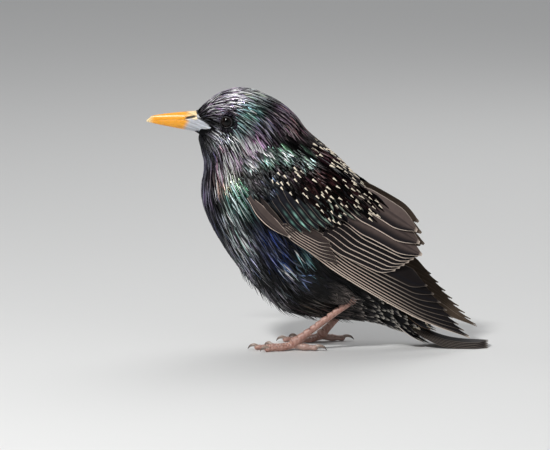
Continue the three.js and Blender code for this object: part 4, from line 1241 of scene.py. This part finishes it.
def scaly_bar(bar, scute, depth):
    """Rings and colours with overlapping plates along the top or front and fine scales elsewhere."""
    line, radius, side, up, a, run = bar
    saw = (run / scute + 0.45) % 1.0
    face = smooth(np.cos(a - np.pi / 2), 0.1, 0.6)
    plate = (saw - 0.5) * face * depth * 2
    groove = -depth * 0.9 * np.exp(-((saw - 0.02) / 0.07) ** 2) * face
    fine = 0.035 * np.sin(run * 7 + 3 * np.cos(a * 5)) * (1 - face)
    r = radius + plate + groove + fine
    rings = rings_round(line, side, up, r * np.cos(a), r * np.sin(a))
    # Painted light and shade: each plate is painted darker at its start and paler at its raised end.
    shade = np.clip(0.5 + 0.5 * saw * face + 0.12 * np.sin(run * 3 + a * 2), 0, 1)
    seam = np.exp(-((saw - 0.02) / 0.09) ** 2) * face
    blotch = 0.5 + 0.5 * np.sin(run * 1.9 + 2 * np.sin(a * 2)) * np.cos(a * 3 + run * 0.7)
    colour = mix(FLESH * 0.8, FLESH_PALE, (0.75 * shade * (0.45 + 0.55 * blotch))[..., None])
    return rings, mix(colour, FLESH_DARK, (0.85 * seam)[..., None])


def build_tarsus(name, heel, foot):
    points = np.array([mix(heel, foot, t) for t in (-0.05, 0, 0.12, 0.5, 0.88, 1, 1.05)])
    radii = [1.1, TARSUS_HEEL * 0.9, TARSUS_SHAFT + 0.1, TARSUS_SHAFT, TARSUS_SHAFT + 0.25,
             TARSUS_HUB * 0.92, 1.6]
    rings, colour = scaly_bar(round_bar(points, radii, 28, 22), 3.3, 0.2)
    build_tube(f"tarsus_{name}_skin", rings, colour, "leg_skin", LEG_SKIN, [f"tarsus_{name}"], floor=0.02)


def build_toe(name, toe, at, length, root):
    """A toe with a pad at each joint. at gives the point at a distance from the foot and a height."""
    joints = 3 if toe == "middle" else 2
    points, radii = [], []
    for i in range(joints * 2 + 1):
        t = i / (joints * 2)
        between = i % 2
        r = mix(root, root * 0.64, t) * (0.86 if between else 1.06)
        z = r - 0.12 + 0.9 * float(1 - smooth(t, 0, 0.35)) + (0.35 if between else 0)
        points.append(at(mix(0.0, length, t), z))
        radii.append(r)
    points.append(at(length + 1.1, root * 0.62))
    radii.append(0.35)
    rings, colour = scaly_bar(round_bar(np.array(points), radii, 22, 12), 1.55, 0.09)
    if toe == "hind":
        colour = mix(colour, HIND_TOE, 0.5)
    build_tube(f"toe_{toe}_{name}_skin", rings, colour, "leg_skin", LEG_SKIN, [f"toe_{toe}_{name}"],
               floor=0.0)


def build_claw(name, toe, at, length, claw):
    start = length - 0.8
    reach = claw * 0.8
    hook = [(0, 1.3), (0.4, 2.25), (0.78, 1.75), (1, 0.35)]  # share of the reach, height
    points = np.array([at(start + reach * share, z) for share, z in hook])
    line, radius, side, up, a, run = round_bar(points, [0.95, 0.85, 0.55, 0.1], 16, 8)
    r = radius * (1 + 0.12 * np.cos(2 * a))
    rings = rings_round(line, side, up, 0.8 * r * np.cos(a), r * np.sin(a))
    shade = np.broadcast_to(run / run[-1], rings.shape[:2])[..., None]
    colour = mix(CLAW_ROOT, CLAW_TIP, smooth(shade, 0.35, 1.0))
    build_tube(f"claw_{toe}_{name}_horn", rings, colour, "claw", CLAW, [f"claw_{toe}_{name}"], floor=0.02)


def build_leg(name):
    leg = LEGS[name]
    foot = np.array(leg["foot"])
    build_tarsus(name, np.array(leg["heel"]), foot)
    for toe, heading, length, root, claw in TOES:
        yaw = math.radians(heading * leg["mirror"] + leg["turn"])
        ahead = np.array([-math.cos(yaw), -math.sin(yaw)])

        def at(distance, z):
            return np.array([foot[0] + ahead[0] * distance, foot[1] + ahead[1] * distance, z])

        build_toe(name, toe, at, length, root)
        build_claw(name, toe, at, length, claw)


def build_thigh(name):
    """Soft grey-brown feathers over the shank, down to the heel."""
    knee = np.array(LEGS[name]["knee"], float)
    heel = np.array(LEGS[name]["heel"])
    rows = np.column_stack([np.array([knee, mix(knee, heel, 0.55), heel]), [7.2, 6.4, 2.5]])
    last = 2.0  # the heel's row

    def surface(p, q, out):
        p, q, out = as_arrays(p, q, out)
        at = curve_through(rows, np.clip(p, 0, last))
        axis = unit(heel - knee)
        across = unit(np.cross(axis, [0, 0, 1.0]))
        up = np.cross(across, axis)
        past = np.maximum(p - last, 0)[..., None] * np.linalg.norm(heel - knee) / last * axis
        r = (at[..., 3] + out)[..., None]
        return at[..., :3] + past + r * (np.cos(q)[..., None] * across + np.sin(q)[..., None] * up)

    pp, qq = np.meshgrid(np.linspace(0, last, 25), round_angles(28), indexing="ij")
    tint = np.broadcast_to(GREY_FLUFF * 0.5, (*pp.shape, 3))
    build_tube(f"shank_{name}", surface(pp, qq, -0.8), tint, "fluff", SOFT, [f"thigh_{name}"],
               clockwise=False)
    p, q = place_roots(surface, (0.1, 1.99), (0, TURN), 0.95, 14000)
    at = surface(p, q, 0.0)
    low = smooth(p, 0.7, 1.7)
    gloss = gloss_colour(at[:, 0], at[:, 2], 0.3)
    tone = mix(gloss, GREY_FLUFF * rng.uniform(0.4, 3.2, (len(p), 1)), low[:, None])
    lay_feathers(f"shank_{name}_feathers", surface, p, q,
                 length=mix(7.5, 3.6, low) * rng.uniform(0.85, 1.2, len(p)), width=mix(1.4, 0.7, low),
                 heading=rng.normal(0, 0.28, len(p)), sink=0.6, rise=0.6, pointed=0.9, colour=tone,
                 slot="fluff", materials=[SOFT], outward=facing(surface, 1.0, 0.3, mix(knee, heel, 0.5)),
                 patch=lambda a, b: (a / last, b % TURN / TURN))


# Ground, light and camera
def build_stage():
    bpy.ops.mesh.primitive_plane_add(size=12, location=(0, 0, -0.0001))
    floor = bpy.context.object
    floor.name = "floor"
    material, nodes, links, shader = new_material("floor")
    noise = nodes.new("ShaderNodeTexNoise")
    set_inputs(noise, {"Scale": 4.0})
    links.new(spread_over(nodes, links, noise.outputs["Fac"], 0.5, 0.6), shader.inputs["Roughness"])
    set_inputs(shader, {"Base Color": (0.72, 0.72, 0.71, 1)})
    floor.data.materials.append(material)

    bpy.context.scene.view_settings.view_transform = "Standard"
    world = bpy.data.worlds.new("studio")
    bpy.context.scene.world = world
    world.use_nodes = True
    set_inputs(world.node_tree.nodes["Background"], {"Color": (0.80, 0.82, 0.86, 1), "Strength": 0.22})

    target = Vector((-0.01, 0, 0.065))
    for label, place, size, power in (
        ("key", (-0.42, -0.62, 0.80), 0.14, 8.8),
        ("fill", (0.75, -0.85, 0.40), 0.80, 0.8),
        ("rim", (0.35, 0.75, 0.80), 0.60, 2.2),
        ("front", (-0.95, 0.25, 0.35), 0.50, 0.9),
        ("ceiling", (0.0, 1.6, 2.4), 2.50, 21.0),
    ):
        data = bpy.data.lights.new(label, "AREA")
        data.size = size
        data.energy = power
        lamp = bpy.data.objects.new(label, data)
        bpy.context.scene.collection.objects.link(lamp)
        lamp.location = place
        lamp.rotation_euler = (target - lamp.location).to_track_quat("-Z", "Y").to_euler()


def build_camera():
    data = bpy.data.cameras.new("camera")
    data.sensor_width = SENSOR
    data.lens = SENSOR * VIEW_DISTANCE / (PHOTO_W * MM_PER_PIXEL * MM)
    data.clip_start, data.clip_end = 0.05, 50
    camera = bpy.data.objects.new("camera", data)
    bpy.context.scene.collection.objects.link(camera)
    up = math.radians(VIEW_UP)
    aim_x = (PHOTO_W / 2 - PIXEL_X0) * MM_PER_PIXEL
    aim_z = (PIXEL_GROUND - PHOTO_H / 2) * MM_PER_PIXEL / math.cos(up)
    aim = Vector((np.array([aim_x, 0, aim_z]) + SHIFT) * MM)
    camera.location = aim + Vector((0, -math.cos(up), math.sin(up))) * VIEW_DISTANCE
    camera.rotation_euler = (aim - camera.location).to_track_quat("-Z", "Y").to_euler()
    bpy.context.scene.camera = camera


build_camera()
build_stage()
build_skin()
build_body_coat()
for side_name, side_sign in (("left", -1), ("right", 1)):
    build_wing(side_name, side_sign)
    build_wing_coat(side_name, side_sign)
    build_eye(side_name, side_sign)
    build_leg(side_name)
    build_thigh(side_name)
build_tail()
build_bill("bill_upper", True)
build_bill("bill_lower", False)
